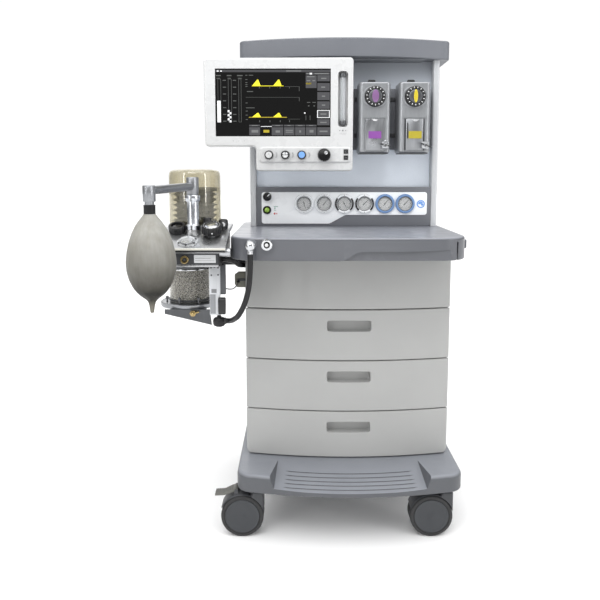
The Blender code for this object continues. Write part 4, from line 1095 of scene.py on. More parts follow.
wt = slab("worktop", 0.8253, 0.8880, 0.0075, 0.0035, wt_plan, 7)
wave = [(-0.036, 0.80), (-0.036, 0.8262), (-0.028, 0.8276), (-0.018, 0.8312), (-0.010, 0.8362), (-0.003, 0.8412), (0.004, 0.8456),
        (0.012, 0.8488), (0.022, 0.8504), (0.040, 0.8510), (0.140, 0.8512), (0.200, 0.8524), (0.245, 0.8545), (0.285, 0.8572), (0.300, 0.8580), (0.300, 0.80)]
wt = cut(wt, prism("wave_cut", wave, -0.36, -0.3105, "Y"))
wt = bevel(wt, 0.0016, 2, 55)
top_line = []
for k in range(31):
    x = 0.006 + (0.180 - 0.006) * k / 30
    e = min(1.0, min(x - 0.006, 0.180 - x) / 0.020)
    top_line.append((x, -0.322 + 0.0070 * (x / 0.253) ** 2 + 0.0092, 0.8892 - 0.0016 * e))
wt = cut(wt, box("under_cut", -0.2850, 0.2850, -0.3000, 0.2800, 0.80, 0.8760), rod("line_cut", top_line, 0.0017, 31, 3, smooth=False))
rail = box("rail", 0.3080, 0.3358, -0.190, 0.010, 0.8460, 0.8720, 0.0040, 4)
wt = join(wt, rail)
put(wt, "worktop_shell", GREY_WT_PAINTED_LIGHT, repl=["worktop"], smooth=34, weight=True)
# outlet bosses on the skirt
b1 = turned("boss", [(0.0100, 0.0235), (0.0140, 0.0232), (0.0155, 0.0215), (0.0155, 0.0), (0, 0), (0, 0.0225), (0.0100, 0.0225)][::-1], (-0.2750, -0.2945, 0.8690), "-Y", 48)
put(b1, "outlet_boss_1", GREY_PANEL)
b2 = turned("boss", [(0, 0.0104), (0.0150, 0.0104), (0.0170, 0.0088), (0.0170, 0.0), (0, 0)], (-0.2323, -0.3076, 0.8700), "-Y", 48)
put(b2, "outlet_boss_2", GREY_PANEL)

# fresh gas outlet: chromed ball with a collar and a spigot for the hose
g = [turned("collar", [(0, 0.0060), (0.0098, 0.0060), (0.0100, 0.0050), (0.0100, 0.0), (0, 0)], (-0.2750, -0.3183, 0.8690), "-Y", 40, CHROME),
     turned("neck", [(0, 0.0130), (0.0075, 0.0120), (0.0080, 0.0), (0, 0)], (-0.2750, -0.3225, 0.8690), "-Y", 40, CHROME)]
ball = bmesh.new()
bmesh.ops.create_uvsphere(ball, u_segments=48, v_segments=28, radius=0.0147)
bmesh.ops.translate(ball, verts=ball.verts, vec=(-0.2750, -0.3400, 0.8690))
g.append(raw("ball", ball, CHROME))
g.append(turned("spigot", [(0, 0.8600), (0.0080, 0.8600), (0.0088, 0.8570), (0.0088, 0.8550), (0.0078, 0.8545), (0.0078, 0.8530),
                           (0.0088, 0.8525), (0.0088, 0.8480), (0.0080, 0.8471), (0, 0.8471)], (-0.2750, -0.3400, 0), "Z", 40, CHROME))
put(merged("gas_outlet_fitting", *g), "gas_outlet_fitting", None, repl=["gas_outlet"], smooth=40)
a = [turned("flange", [(0.0088, 0.0096), (0.0120, 0.0100), (0.0150, 0.0092), (0.0160, 0.0070), (0.0160, 0.0004), (0, 0.0004), (0, 0.0060), (0.0088, 0.0064)][::-1],
            (-0.2323, -0.3180, 0.8700), "-Y", 48, CHROME),
     turned("inner", [(0, 0.0120), (0.0060, 0.0118), (0.0085, 0.0105), (0.0087, 0.0062), (0, 0.0062)], (-0.2323, -0.3180, 0.8700), "-Y", 48, BLACK_GLOSS),
     turned("nipple", [(0, 0.0168), (0.0036, 0.0166), (0.0046, 0.0155), (0.0046, 0.0120), (0, 0.0120)], (-0.2323, -0.3180, 0.8700), "-Y", 32, WHITE),
     plates("marks", [arc(-0.2323, 0.8700, 0.0100, 0.0135, 20, 70, 6), arc(-0.2323, 0.8700, 0.0100, 0.0135, 110, 160, 6),
                      arc(-0.2323, 0.8700, 0.0100, 0.0135, 250, 290, 6)], -0.3284, -0.3276, LABEL)]
put(merged("aux_outlet_fitting", *a), "aux_outlet_fitting", None, repl=["aux_outlet"], smooth=40)

# ------------------------------------------------------------------ columns, back housing and canopy
for tag, s in (("left", -1), ("right", 1)):
    a, b = sorted((s * 0.2884, s * 0.3090))
    outline = rrect(a, b, 0.0985, 0.2985, 0.0065, 8)
    col = prism("column", outline, 0.8885, 1.4252, "Z")
    xo = s * 0.3090
    cuts = [box("groove", xo - 0.0012, xo + 0.0012, 0.1500, 0.1530, 0.88, 1.44), box("groove", xo - 0.0012, xo + 0.0012, 0.2450, 0.2480, 0.88, 1.44)]
    xi = s * 0.2884
    cuts.append(box("slot", xi - 0.0030, xi + 0.0030, 0.1120, 0.1175, 0.88, 1.44))
    col = cut(col, *cuts)
    put(col, f"column_{tag}_extrusion", EXTR, repl=[f"column_{tag}"], smooth=30)

bh = frame["nodes"]["back_housing"]
for k in range(len(bh.material_slots)):
    bh.material_slots[k].material = PANEL
bv = bh.modifiers.new("edge", "BEVEL")
bv.width = 0.0015
bv.segments = 2
bv.limit_method = "ANGLE"
bv.angle_limit = rad(50)

can = slab("canopy", 1.4256, 1.4843, 0.0050, 0.0035,
           lambda d: offset_plan(d, 0.339, 0.0330, 0.0850, 0.3100, 0.0250, 0.0200, nf=56, nc=16), 5)
can = cut(can, box("can_cut", -0.270, 0.270, 0.150, 0.285, 1.38, 1.4783))
put(can, "canopy_shell", GREY, repl=["canopy"], smooth=34, weight=True)
# downlight strip under the canopy's right end, dark in the shade
put(box("canopy_soffit", -0.255, 0.255, 0.0700, 0.1290, 1.4226, 1.4255, 0.0012, 2), "canopy_soffit", GREY_PANEL)

# ------------------------------------------------------------------ gauge block and fascia
GX = (-0.1311, -0.0642, 0.0021, 0.0687, 0.1366, 0.2032)
GZ = 0.963
blk = prism("block", rrect(-0.2879, 0.2879, 0.8885, 1.0175, 0.0030, 4), 0.0985, 0.1298, "Y", 0.0016, 2)
blk = cut(blk, cyl("b", (-0.2523, 0.112, 0.9857), (-0.2523, 0.08, 0.9857), 0.0037, 24), cyl("b", (-0.2533, 0.112, 0.9420), (-0.2533, 0.08, 0.9420), 0.0067, 24),
          *[cyl("b", (x, 0.1120, GZ), (x, 0.08, GZ), 0.0290, 40) for x in GX])
put(blk, "gauge_panel_block", GREY_PANEL, repl=["gauge_block"], smooth=34)
fas = prism("fascia", rounded([(-0.2710, 0.8967, 0.008), (-0.0460, 0.8967, 0.030), (0.0060, 0.9257, 0.030),
                               (0.2755, 0.9257, 0.008), (0.2755, 1.0007, 0.008), (-0.2710, 1.0007, 0.008)], 14),
            0.0960, 0.0982, "Y", 0.0005, 2)
fas = cut(fas, *[cyl("h", (x, 0.11, GZ), (x, 0.08, GZ), 0.0319, 56) for x in GX],
          cyl("h", (-0.2523, 0.11, 0.9857), (-0.2523, 0.08, 0.9857), 0.0042, 24), cyl("h", (-0.2533, 0.11, 0.9420), (-0.2533, 0.08, 0.9420), 0.0072, 24))
put(fas, "fascia_plate", FASCIA, repl=["gauge_fascia"], smooth=34)

NEEDLE = (-72, 52, -62, 46, 50, 48)          # degrees of each needle's tip above +x
for k, x in enumerate(GX):
    ring_mat = (FASCIA, FASCIA, FASCIA, FASCIA, BLUE_RING, BLUE_RING)[k]
    p = [turned("can", [(0.0236, 0.0118), (0.0246, 0.0136), (0.0262, 0.0142), (0.0300, 0.0140), (0.0312, 0.0130), (0.0315, 0.0115),
                        (0.0315, 0.0), (0.0236, 0.0)][::-1] + [(0.0236, 0.0118)], (x, 0.1021, GZ), "-Y", 72, ring_mat),
         turned("rim", [(0.0222, 0.0100), (0.0226, 0.0126), (0.0237, 0.0131), (0.0247, 0.0126), (0.0248, 0.0100)], (x, 0.1021, GZ), "-Y", 72, ALU_DK),
         turned("paper", [(0, 0.0060), (0.0236, 0.0060), (0.0236, 0.0040), (0, 0.0040)], (x, 0.1021, GZ), "-Y", 56, DIALF)]
    marks = []
    for t in range(-45, 226, 15):
        long = t % 45 == 0
        c, s_ = math.cos(rad(t)), math.sin(rad(t))
        r0, r1, w = (0.0152, 0.0198, 0.00075) if long else (0.0172, 0.0198, 0.00045)
        marks.append([(x + r0 * c - w * s_, GZ + r0 * s_ + w * c), (x + r0 * c + w * s_, GZ + r0 * s_ - w * c),
                      (x + r1 * c + w * s_, GZ + r1 * s_ - w * c), (x + r1 * c - w * s_, GZ + r1 * s_ + w * c)])
    marks.append(arc(x, GZ, 0.0198, 0.0207, -45, 225, 28))
    p.append(plates("marks", marks, 0.0958, 0.0962, DARK_INK))
    # painted shadow: a grey arc along the top of the dial face stands in for the rim's shadow
    p.append(plates("shade", [arc(x, GZ, 0.0206, 0.0225, 25, 155, 18)], 0.0950, 0.0954, GREY_INK))
    if k in (2, 3):
        p.append(plates("arcs", [arc(x, GZ, 0.0252, 0.0312, -48, 38, 18), arc(x, GZ, 0.0252, 0.0312, 142, 228, 18)], 0.0874, 0.0882, BLACK))
    if k < 4:
        p.append(plates("notches", [(x - 0.0010, x + 0.0010, GZ + 0.0262, GZ + 0.0292), (x - 0.0010, x + 0.0010, GZ - 0.0292, GZ - 0.0262)], 0.0875, 0.0882, GREY_INK))
    if k < 2:
        p.append(plates("rimline", [arc(x, GZ, 0.0262, 0.0270, 0, 180, 24), arc(x, GZ, 0.0262, 0.0270, 180, 360, 24)], 0.0876, 0.0882, GREY_INK))
    t = rad(NEEDLE[k])
    c, s_ = math.cos(t), math.sin(t)
    nd = [(x - 0.0075 * c - 0.0015 * s_, GZ - 0.0075 * s_ + 0.0015 * c), (x - 0.0075 * c + 0.0015 * s_, GZ - 0.0075 * s_ - 0.0015 * c),
          (x + 0.0165 * c + 0.0006 * s_, GZ + 0.0165 * s_ - 0.0006 * c), (x + 0.0165 * c - 0.0006 * s_, GZ + 0.0165 * s_ + 0.0006 * c)]
    p.append(plates("needle", [nd], 0.0938, 0.0942, DARK_INK))
    p.append(turned("hub", [(0, 0.0028), (0.0018, 0.0026), (0.0024, 0.0016), (0.0024, 0), (0, 0)], (x, 0.0961, GZ), "-Y", 24, DARK_INK))
    put(merged("gauge", *p), f"gauge_{k + 1}", None, smooth=40)
    put(turned("lens", [(0, 0.0118), (0.0120, 0.0115), (0.0222, 0.0106), (0.0222, 0.0098), (0, 0.0108)], (x, 0.1021, GZ), "-Y", 56), f"gauge_lens_{k + 1}", GLASS)

# printed marks on the fascia and the round blue symbol
put(plates("sym", [arc(0.2555, 0.962, 0.0098, 0.0134, 0, 180, 28), arc(0.2555, 0.962, 0.0098, 0.0134, 180, 360, 28)], 0.0952, 0.0959, BLUE), "fascia_symbol_ring", BLUE)
put(plates("sym", [arc(0.2555, 0.962, 0.0, 0.0086, 30, 190, 20), arc(0.2600, 0.9600, 0.0, 0.0042, 0, 359.9, 20)], 0.0953, 0.0959, BLUE), "fascia_symbol_mark", BLUE)
put(plates("grn", [(-0.2310, -0.2170, 0.9525, 0.9540), (-0.2285, -0.2260, 0.9445, 0.9505), (-0.2305, -0.2235, 0.9405, 0.9418)], 0.0955, 0.0959, GREEN_INK), "fascia_marks_green", GREEN_INK)
put(plates("red", [arc(-0.2285, 0.9300, 0.0, 0.0032, 0, 359.9, 16), (-0.2225, -0.2195, 0.9278, 0.9322)], 0.0955, 0.0959, RED_INK), "fascia_marks_red", RED_INK)

sw = turned("switch", [(0, 0.0150), (0.0112, 0.0150), (0.0130, 0.0138), (0.0138, 0.0120), (0.0145, 0.0020), (0.0145, 0.0004), (0.0030, 0.0004), (0.0030, -0.0140), (0, -0.0140)],
            (-0.2523, 0.0960, 0.9857), "-Y", 56, BLACK_GLOSS)
grip = prism("grip", rounded([(-0.0118, -0.0040, 0.003), (0.0128, -0.0034, 0.003), (0.0128, 0.0034, 0.003), (-0.0118, 0.0040, 0.003)], 5), 0.0780, 0.0830, "Y", 0.0010, 2, mat=BLACK_GLOSS)
ptr = plates("ptr", [(0.0025, 0.0124, -0.0016, 0.0016)], 0.0776, 0.0782, WHITE_INK)
m = Matrix.Translation((-0.2523, 0, 0.9857)) @ Matrix.Rotation(rad(-48), 4, "Y")
for o in (grip, ptr):
    o.data.transform(m)
put(merged("sw", sw, grip, ptr), "power_switch_knob", None, "power_switch", ["power_switch"], 36)
lp = [turned("bezel", [(0.0085, 0.0036), (0.0100, 0.0058), (0.0120, 0.0056), (0.0136, 0.0036), (0.0140, 0.0004), (0.0060, 0.0004), (0.0060, -0.0140), (0.0001, -0.0140),
                       (0.0001, 0.0030), (0.0085, 0.0034)], (-0.2533, 0.0960, 0.9420), "-Y", 56, BLACK_GLOSS),
      turned("dome", [(0, 0.0085), (0.0030, 0.0082), (0.0058, 0.0070), (0.0076, 0.0052), (0.0084, 0.0032), (0.0084, 0.0024), (0, 0.0024)], (-0.2533, 0.0960, 0.9420), "-Y", 48, LENS_GREEN)]
put(merged("lamp", *lp), "power_lamp_lens", None, repl=["power_lamp"], smooth=36)

# ------------------------------------------------------------------ display head
mon = prism("monitor", rounded([(-0.4394, 1.4117, 0.011), (-0.4370, 1.1442, 0.011), (-0.2810, 1.1442, 0.010),
                                (-0.2804, 1.0688, 0.010), (0.0198, 1.0688, 0.011), (0.0200, 1.4135, 0.011)], 10),
            -0.020, 0.035, "Y", 0.0060, 4, 40)
# raised control shelf with sloped flanks
shelf = bmesh.new()
r0 = rrect(-0.2720, 0.0140, 1.0930, 1.1430, 0.012, 8)
r1 = rrect(-0.2660, 0.0110, 1.0970, 1.1395, 0.009, 8)
r2 = rrect(-0.2650, 0.0100, 1.0978, 1.1388, 0.008, 8)
ra = [shelf.verts.new((x, -0.0150, z)) for x, z in r0]
rb = [shelf.verts.new((x, -0.0202, z)) for x, z in r0]
rc = [shelf.verts.new((x, -0.0240, z)) for x, z in r1]
rd = [shelf.verts.new((x, -0.0250, z)) for x, z in r2]
shelf.faces.new(ra)
shelf.faces.new(list(reversed(rd)))
for p_, q_ in ((ra, rb), (rb, rc), (rc, rd)):
    for k in range(len(p_)):
        shelf.faces.new((p_[k], q_[k], q_[(k + 1) % len(p_)], p_[(k + 1) % len(p_)]))
mon = join(mon, raw("shelf", shelf), box("mount", -0.2200, -0.0400, 0.031, 0.1298, 1.1200, 1.3600, 0.002, 2))
cuts = [prism("pocket", rrect(-0.4042, -0.0498, 1.1750, 1.3794, 0.0012, 3), -0.05, -0.0160, "Y"),
        prism("flow", rrect(-0.0272, 0.0032, 1.2038, 1.3722, 0.0105, 8), -0.05, 0.0020, "Y")]
for x in (-0.2400, -0.1895, -0.1388):
    cuts.append(cyl("kb", (x, -0.0090, 1.1178), (x, -0.05, 1.1178), 0.0035, 20))
cuts.append(cyl("eb", (-0.0697, -0.0070, 1.1178), (-0.0697, -0.05, 1.1178), 0.0035, 20))
for x, z in ((-0.0021, 1.1284), (-0.0021, 1.1097)):
    cuts.append(box("bp", x - 0.0071, x + 0.0071, -0.05, -0.0120, z - 0.0071, z + 0.0071))
mon = cut(mon, *cuts)
put(mon, "monitor_body", WHITE, repl=["monitor_housing"], smooth=32, weight=True)

scr = box("screen", -0.4039, -0.0501, -0.0196, -0.0163, 1.1753, 1.3791, 0.0004, 1)
put(scr, "monitor_glass", LIT_BG, repl=["monitor_screen"], smooth=30)


def sx(u):
    """Across the display, 0 at its left edge and 1 at its right."""
    return -0.4039 + 0.3538 * u


def sz(v):
    """Down the display, 0 at its top edge and 1 at its bottom."""
    return 1.3791 - 0.2038 * v


def cell(u0, v0, u1, v1):
    return (sx(u0), sx(u1), sz(v1), sz(v0))


def fig(name, shapes, mat, layer=0):
    y = -0.0197 - 0.00012 * layer
    put(plates(name, shapes, y - 0.0001, y + 0.00005, mat), "display_" + name, mat, smooth=30)


fig("header", [cell(0.0, 0.018, 1.0, 0.052)], LIT_BAR)
cells = [cell(0.885, 0.095, 0.992, 0.185), cell(0.885, 0.212, 0.992, 0.325), cell(0.885, 0.345, 0.992, 0.462),
         cell(0.885, 0.482, 0.992, 0.592), cell(0.885, 0.745, 0.992, 0.835), cell(0.885, 0.865, 0.998, 0.985)]
for u0, u1 in ((0.292, 0.386), (0.488, 0.588), (0.595, 0.686), (0.692, 0.780), (0.786, 0.878)):
    cells.append(cell(u0, 0.865, u1, 0.985))
    cells.append(cell(u0, 0.828, u1, 0.852))
cells += [cell(0.784, 0.060, 0.992, 0.088), cell(0.784, 0.100, 0.878, 0.285)]
fig("keys", cells, LIT_KEY)
fig("key_frame", [cell(0.884, 0.610, 0.993, 0.618), cell(0.884, 0.718, 0.993, 0.726), cell(0.884, 0.610, 0.890, 0.726), cell(0.987, 0.610, 0.993, 0.726),
                  cell(0.394, 0.850, 0.488, 0.858)], LIT_WHITE)
fig("key_marked", [cell(0.891, 0.620, 0.986, 0.716)], LIT_KEY)
words = [cell(0.918, 0.135, 0.962, 0.152), cell(0.918, 0.262, 0.952, 0.282), cell(0.924, 0.396, 0.952, 0.414), cell(0.924, 0.528, 0.954, 0.546), cell(0.912, 0.660, 0.964, 0.678),
         cell(0.910, 0.785, 0.966, 0.802), cell(0.905, 0.915, 0.975, 0.938), cell(0.312, 0.905, 0.370, 0.945), cell(0.522, 0.912, 0.560, 0.945), cell(0.610, 0.905, 0.672, 0.918),
         cell(0.610, 0.932, 0.672, 0.945), cell(0.728, 0.912, 0.744, 0.945), cell(0.818, 0.905, 0.852, 0.945), cell(0.314, 0.836, 0.366, 0.844), cell(0.520, 0.836, 0.560, 0.844),
         cell(0.625, 0.836, 0.652, 0.844), cell(0.716, 0.836, 0.756, 0.844), cell(0.814, 0.836, 0.850, 0.844), cell(0.796, 0.112, 0.860, 0.124), cell(0.792, 0.170, 0.824, 0.184),
         cell(0.842, 0.170, 0.866, 0.184), cell(0.860, 0.066, 0.982, 0.080), cell(0.790, 0.066, 0.812, 0.080)]
fig("words", words, LIT_DIM, 1)
fig("words_bright", [cell(0.016, 0.028, 0.032, 0.044), cell(0.046, 0.028, 0.060, 0.044), cell(0.818, 0.062, 0.838, 0.086), cell(0.770, 0.645, 0.782, 0.662)], LIT_WHITE, 1)
fig("header_words", [cell(0.615, 0.028, 0.745, 0.042)], LIT_DIM, 1)
# bar gauges on the left
lines = []
for u0, u1 in ((0.022, 0.050), (0.112, 0.142), (0.202, 0.226)):
    lines += [cell(u0, 0.150, u0 + 0.003, 0.790), cell(u1 - 0.003, 0.150, u1, 0.790), cell(u0, 0.150, u1, 0.155), cell(u0, 0.785, u1, 0.790)]
for u in (0.080, 0.168):
    for k in range(7):
        v = 0.172 + 0.1005 * k
        lines.append(cell(u - 0.014, v - 0.006, u + 0.014, v + 0.006))
for u, w in ((0.028, 0.022), (0.122, 0.020), (0.214, 0.024)):
    lines += [cell(u - w, 0.094, u + w, 0.110), cell(u - w * 0.7, 0.136, u + w * 0.7, 0.146)]
for v in (0.098, 0.160, 0.205, 0.235, 0.262, 0.505, 0.625, 0.685, 0.750):
    lines.append(cell(0.262, v - 0.005, 0.280, v + 0.005))
lines += [cell(0.292, 0.092, 0.330, 0.102), cell(0.275, 0.330, 0.328, 0.342), cell(0.265, 0.572, 0.340, 0.582), cell(0.264, 0.420, 0.730, 0.424), cell(0.726, 0.420, 0.730, 0.480),
          cell(0.600, 0.262, 0.728, 0.266), cell(0.726, 0.262, 0.730, 0.330), cell(0.630, 0.742, 0.735, 0.746), cell(0.784, 0.690, 0.788, 0.760), cell(0.820, 0.690, 0.824, 0.760)]
for u in (0.470, 0.560, 0.640, 0.380):
    lines += [cell(u, 0.762, u + 0.006, 0.790), cell(u, 0.262, u + 0.005, 0.290)]
for u in (0.810, 0.858):
    lines += [cell(u - 0.016, 0.492, u + 0.014, 0.502), cell(u - 0.006, 0.540, u + 0.006, 0.556)]
fig("lines", lines, LIT_LINE)
fig("bar_white", [cell(0.016, 0.472, 0.046, 0.792)] + [cell(0.106 + 0.016 * (k % 2) , 0.612 + 0.030 * k, 0.122 + 0.016 * (k % 2), 0.642 + 0.030 * k) for k in range(6)], LIT_WHITE, 1)


def wave(base_v, h, u0=0.318):
    pts = [(u0, base_v), (u0 + 0.046, base_v - h), (u0 + 0.056, base_v - h * 0.98), (u0 + 0.068, base_v - h * 0.42), (u0 + 0.076, base_v)]
    return [(sx(u), sz(v)) for u, v in pts]


fig("waves", [wave(0.256, 0.095), wave(0.256, 0.095, 0.500), cell(0.318, 0.250, 0.592, 0.258),
              wave(0.714, 0.062), wave(0.714, 0.062, 0.500)], LIT_YELLOW, 1)
fig("baseline", [cell(0.290, 0.712, 0.620, 0.722), cell(0.786, 0.205, 0.832, 0.232)], LIT_AMBER)
fig("key_word", [cell(0.416, 0.905, 0.466, 0.945)], LIT_AMBER, 1)

# flow tube: glass with float, scale and dark ends
ft = [turned("tube", [(0, 0.0650), (0.0085, 0.0650), (0.0085, -0.0650), (0, -0.0650)], (-0.0120, -0.0110, 1.2880), "Z", 40, TUBE_GLASS)]
put(ft[0], "flow_tube_glass", TUBE_GLASS, repl=["flowmeter_tube"], smooth=40)
ends = []
for s in (-1, 1):
    ends.append(turned("end", [(0, s * 0.0788), (0.0072, s * 0.0788), (0.0098, s * 0.0770), (0.0105, s * 0.0740), (0.0105, s * 0.0690), (0.0092, s * 0.0655), (0, s * 0.0655)],
                       (-0.0120, -0.0110, 1.2880), "Z", 40, ALU_DK))
    ends.append(turned("seal", [(0, s * 0.0668), (0.0094, s * 0.0668), (0.0094, s * 0.0652), (0, s * 0.0652)], (-0.0120, -0.0110, 1.2880), "Z", 40, BLACK))
put(merged("ends", *ends), "flow_tube_ends", None, smooth=40)
core = [turned("float", [(0, 0.0022), (0.0030, 0.0022), (0.0042, 0.0), (0.0020, -0.0030), (0, -0.0030)], (-0.0120, -0.0110, 1.2262), "Z", 24, SCREW),
        box("back", -0.0188, -0.0052, -0.0024, -0.0012, 1.2235, 1.3525, mat=LABEL)]
put(merged("core", *core), "flow_tube_float", None, smooth=40)
put(plates("scale", [(-0.0166 + (0 if k % 5 == 0 else 0.0022), -0.0132, 1.2300 + 0.0048 * k - 0.0004, 1.2300 + 0.0048 * k + 0.0004) for k in range(25)], -0.0032, -0.0028, GREY_INK), "flow_tube_scale", GREY_INK)
put(plates("dots", [arc(-0.0215, 1.1927, 0, 0.0016, 0, 359.9, 10), arc(-0.0120, 1.1927, 0, 0.0026, 0, 359.9, 12), arc(-0.0030, 1.1927, 0, 0.0016, 0, 359.9, 10),
                    (-0.0235, -0.0005, 1.1822, 1.1828)], -0.0203, -0.0199, GREY_INK), "flow_tube_dots", GREY_INK)
put(plates("dots", [arc(-0.3500 + 0.0170 * k, 1.1610, 0, 0.0011, 0, 359.9, 10) for k in range(3)], -0.0203, -0.0199, GREY_INK), "monitor_dots", GREY_INK)

# needle-valve knobs: dark fluted rim with a coloured cap
for n, (x, cap) in enumerate(((-0.2400, WHITE), (-0.1895, BLACK_GLOSS), (-0.1388, BLUE))):
    k = turned("knob", [(0, 0.0168), (0.0105, 0.0168), (0.0118, 0.0172), (0.0128, 0.0160), (0.0139, 0.0020), (0.0139, 0.0003), (0.0030, 0.0003), (0.0030, -0.0150), (0, -0.0150)],
               (x, -0.025, 1.1178), "-Y", 72, BLACK)
    flutes = [cyl("fl", (x + 0.0150 * math.cos(TAU * j / 18), -0.0270, 1.1178 + 0.0150 * math.sin(TAU * j / 18)),
                  (x + 0.0143 * math.cos(TAU * j / 18), -0.0450, 1.1178 + 0.0143 * math.sin(TAU * j / 18)), 0.0016, 8) for j in range(18)]
    k = cut(k, *flutes)
    c = turned("cap", [(0, 0.0175), (0.0080, 0.0175), (0.0096, 0.0171), (0.0100, 0.0165), (0.0100, 0.0160), (0, 0.0160)], (x, -0.025, 1.1178), "-Y", 56, cap)
    extra = []
    if n == 0:
        extra = [plates("m", [arc(x, 1.1178, 0.0020, 0.0034, 30, 150, 8), (x + 0.0024, x + 0.0046, 1.1140, 1.1152)], -0.0427, -0.0424, GREY_INK)]
    if n == 1:
        extra = [plates("m", [arc(x, 1.1178, 0.0015, 0.0088, 100, 170, 8), arc(x, 1.1178, 0.0015, 0.0088, 10, 80, 8), arc(x, 1.1178, 0.0015, 0.0088, 190, 350, 14)], -0.0427, -0.0424, LABEL)]
    put(merged("knob", k, c, *extra), f"flow_knob_{n + 1}_cap", None, f"flow_knob_{n + 1}", [f"flow_knob_{n + 1}"], 36)
    put(plates("arc", [arc(x + 0.0120, 1.1178, 0.0110, 0.0122, -42, 42, 12), arc(x + 0.0120, 1.1178, 0.0136, 0.0142, -36, 36, 12)], -0.0254, -0.0249, (GREEN_INK, DARK_INK, BLUE)[n]),
        f"flow_knob_arc_{n + 1}", GREY_INK)

# menu knob with a finger dimple
sh_ = turned("shaft", [(0, 0.0060), (0.0031, 0.0060), (0.0031, -0.0150), (0, -0.0150)], (-0.0697, -0.025, 1.1178), "-Y", 32)
put(sh_, "encoder_spindle", STEEL, "encoder_shaft", ["encoder_shaft"])
ek = turned("enc", [(0, 0.0205), (0.0150, 0.0206), (0.0172, 0.0210), (0.0188, 0.0200), (0.0196, 0.0180), (0.0205, 0.0045), (0.0203, 0.0026), (0.0035, 0.0026), (0.0035, 0.0064), (0, 0.0064)],
            (-0.0697, -0.025, 1.1178), "-Y", 96, BLACK_GLOSS)
dim = bmesh.new()
bmesh.ops.create_uvsphere(dim, u_segments=32, v_segments=20, radius=0.0100)
bmesh.ops.translate(dim, verts=dim.verts, vec=(-0.0645, -0.0540, 1.1245))
ek = cut(ek, raw("dimple", dim))
knurl = [cyl("kn", (-0.0697 + 0.0213 * math.cos(TAU * j / 30), -0.0285, 1.1178 + 0.0213 * math.sin(TAU * j / 30)),
             (-0.0697 + 0.0207 * math.cos(TAU * j / 30), -0.0430, 1.1178 + 0.0207 * math.sin(TAU * j / 30)), 0.0012, 8) for j in range(30)]
ek = cut(ek, *knurl)
put(ek, "encoder_knob_body", BLACK_GLOSS, "encoder_knob", ["encoder_knob"], 36)
dm = turned("pad", [(0, 0.0010), (0.0034, 0.0012), (0.0050, 0.0021), (0.0052, 0.0019), (0, 0.0002)], (-0.0645, -0.0441, 1.1245), "-Y", 32)
put(dm, "encoder_dimple", STEEL, "encoder_knob", smooth=50)
for n, (x, z) in enumerate(((-0.0021, 1.1284), (-0.0021, 1.1097))):
    b = box("btn", x - 0.0067, x + 0.0067, -0.0272, -0.0150, z - 0.0067, z + 0.0067, 0.0012, 3, mat=BLACK)
    m1 = plates("m", [arc(x, z, 0.0022, 0.0030, 50, 310, 14)] if n == 0 else [(x - 0.0028, x + 0.0028, z - 0.0005, z + 0.0005)], -0.0275, -0.0271, GREY_INK)
    put(merged("btn", b, m1), f"soft_key_{n + 1}", None, f"push_button_{n + 1}", [f"push_button_{n + 1}"], 36)

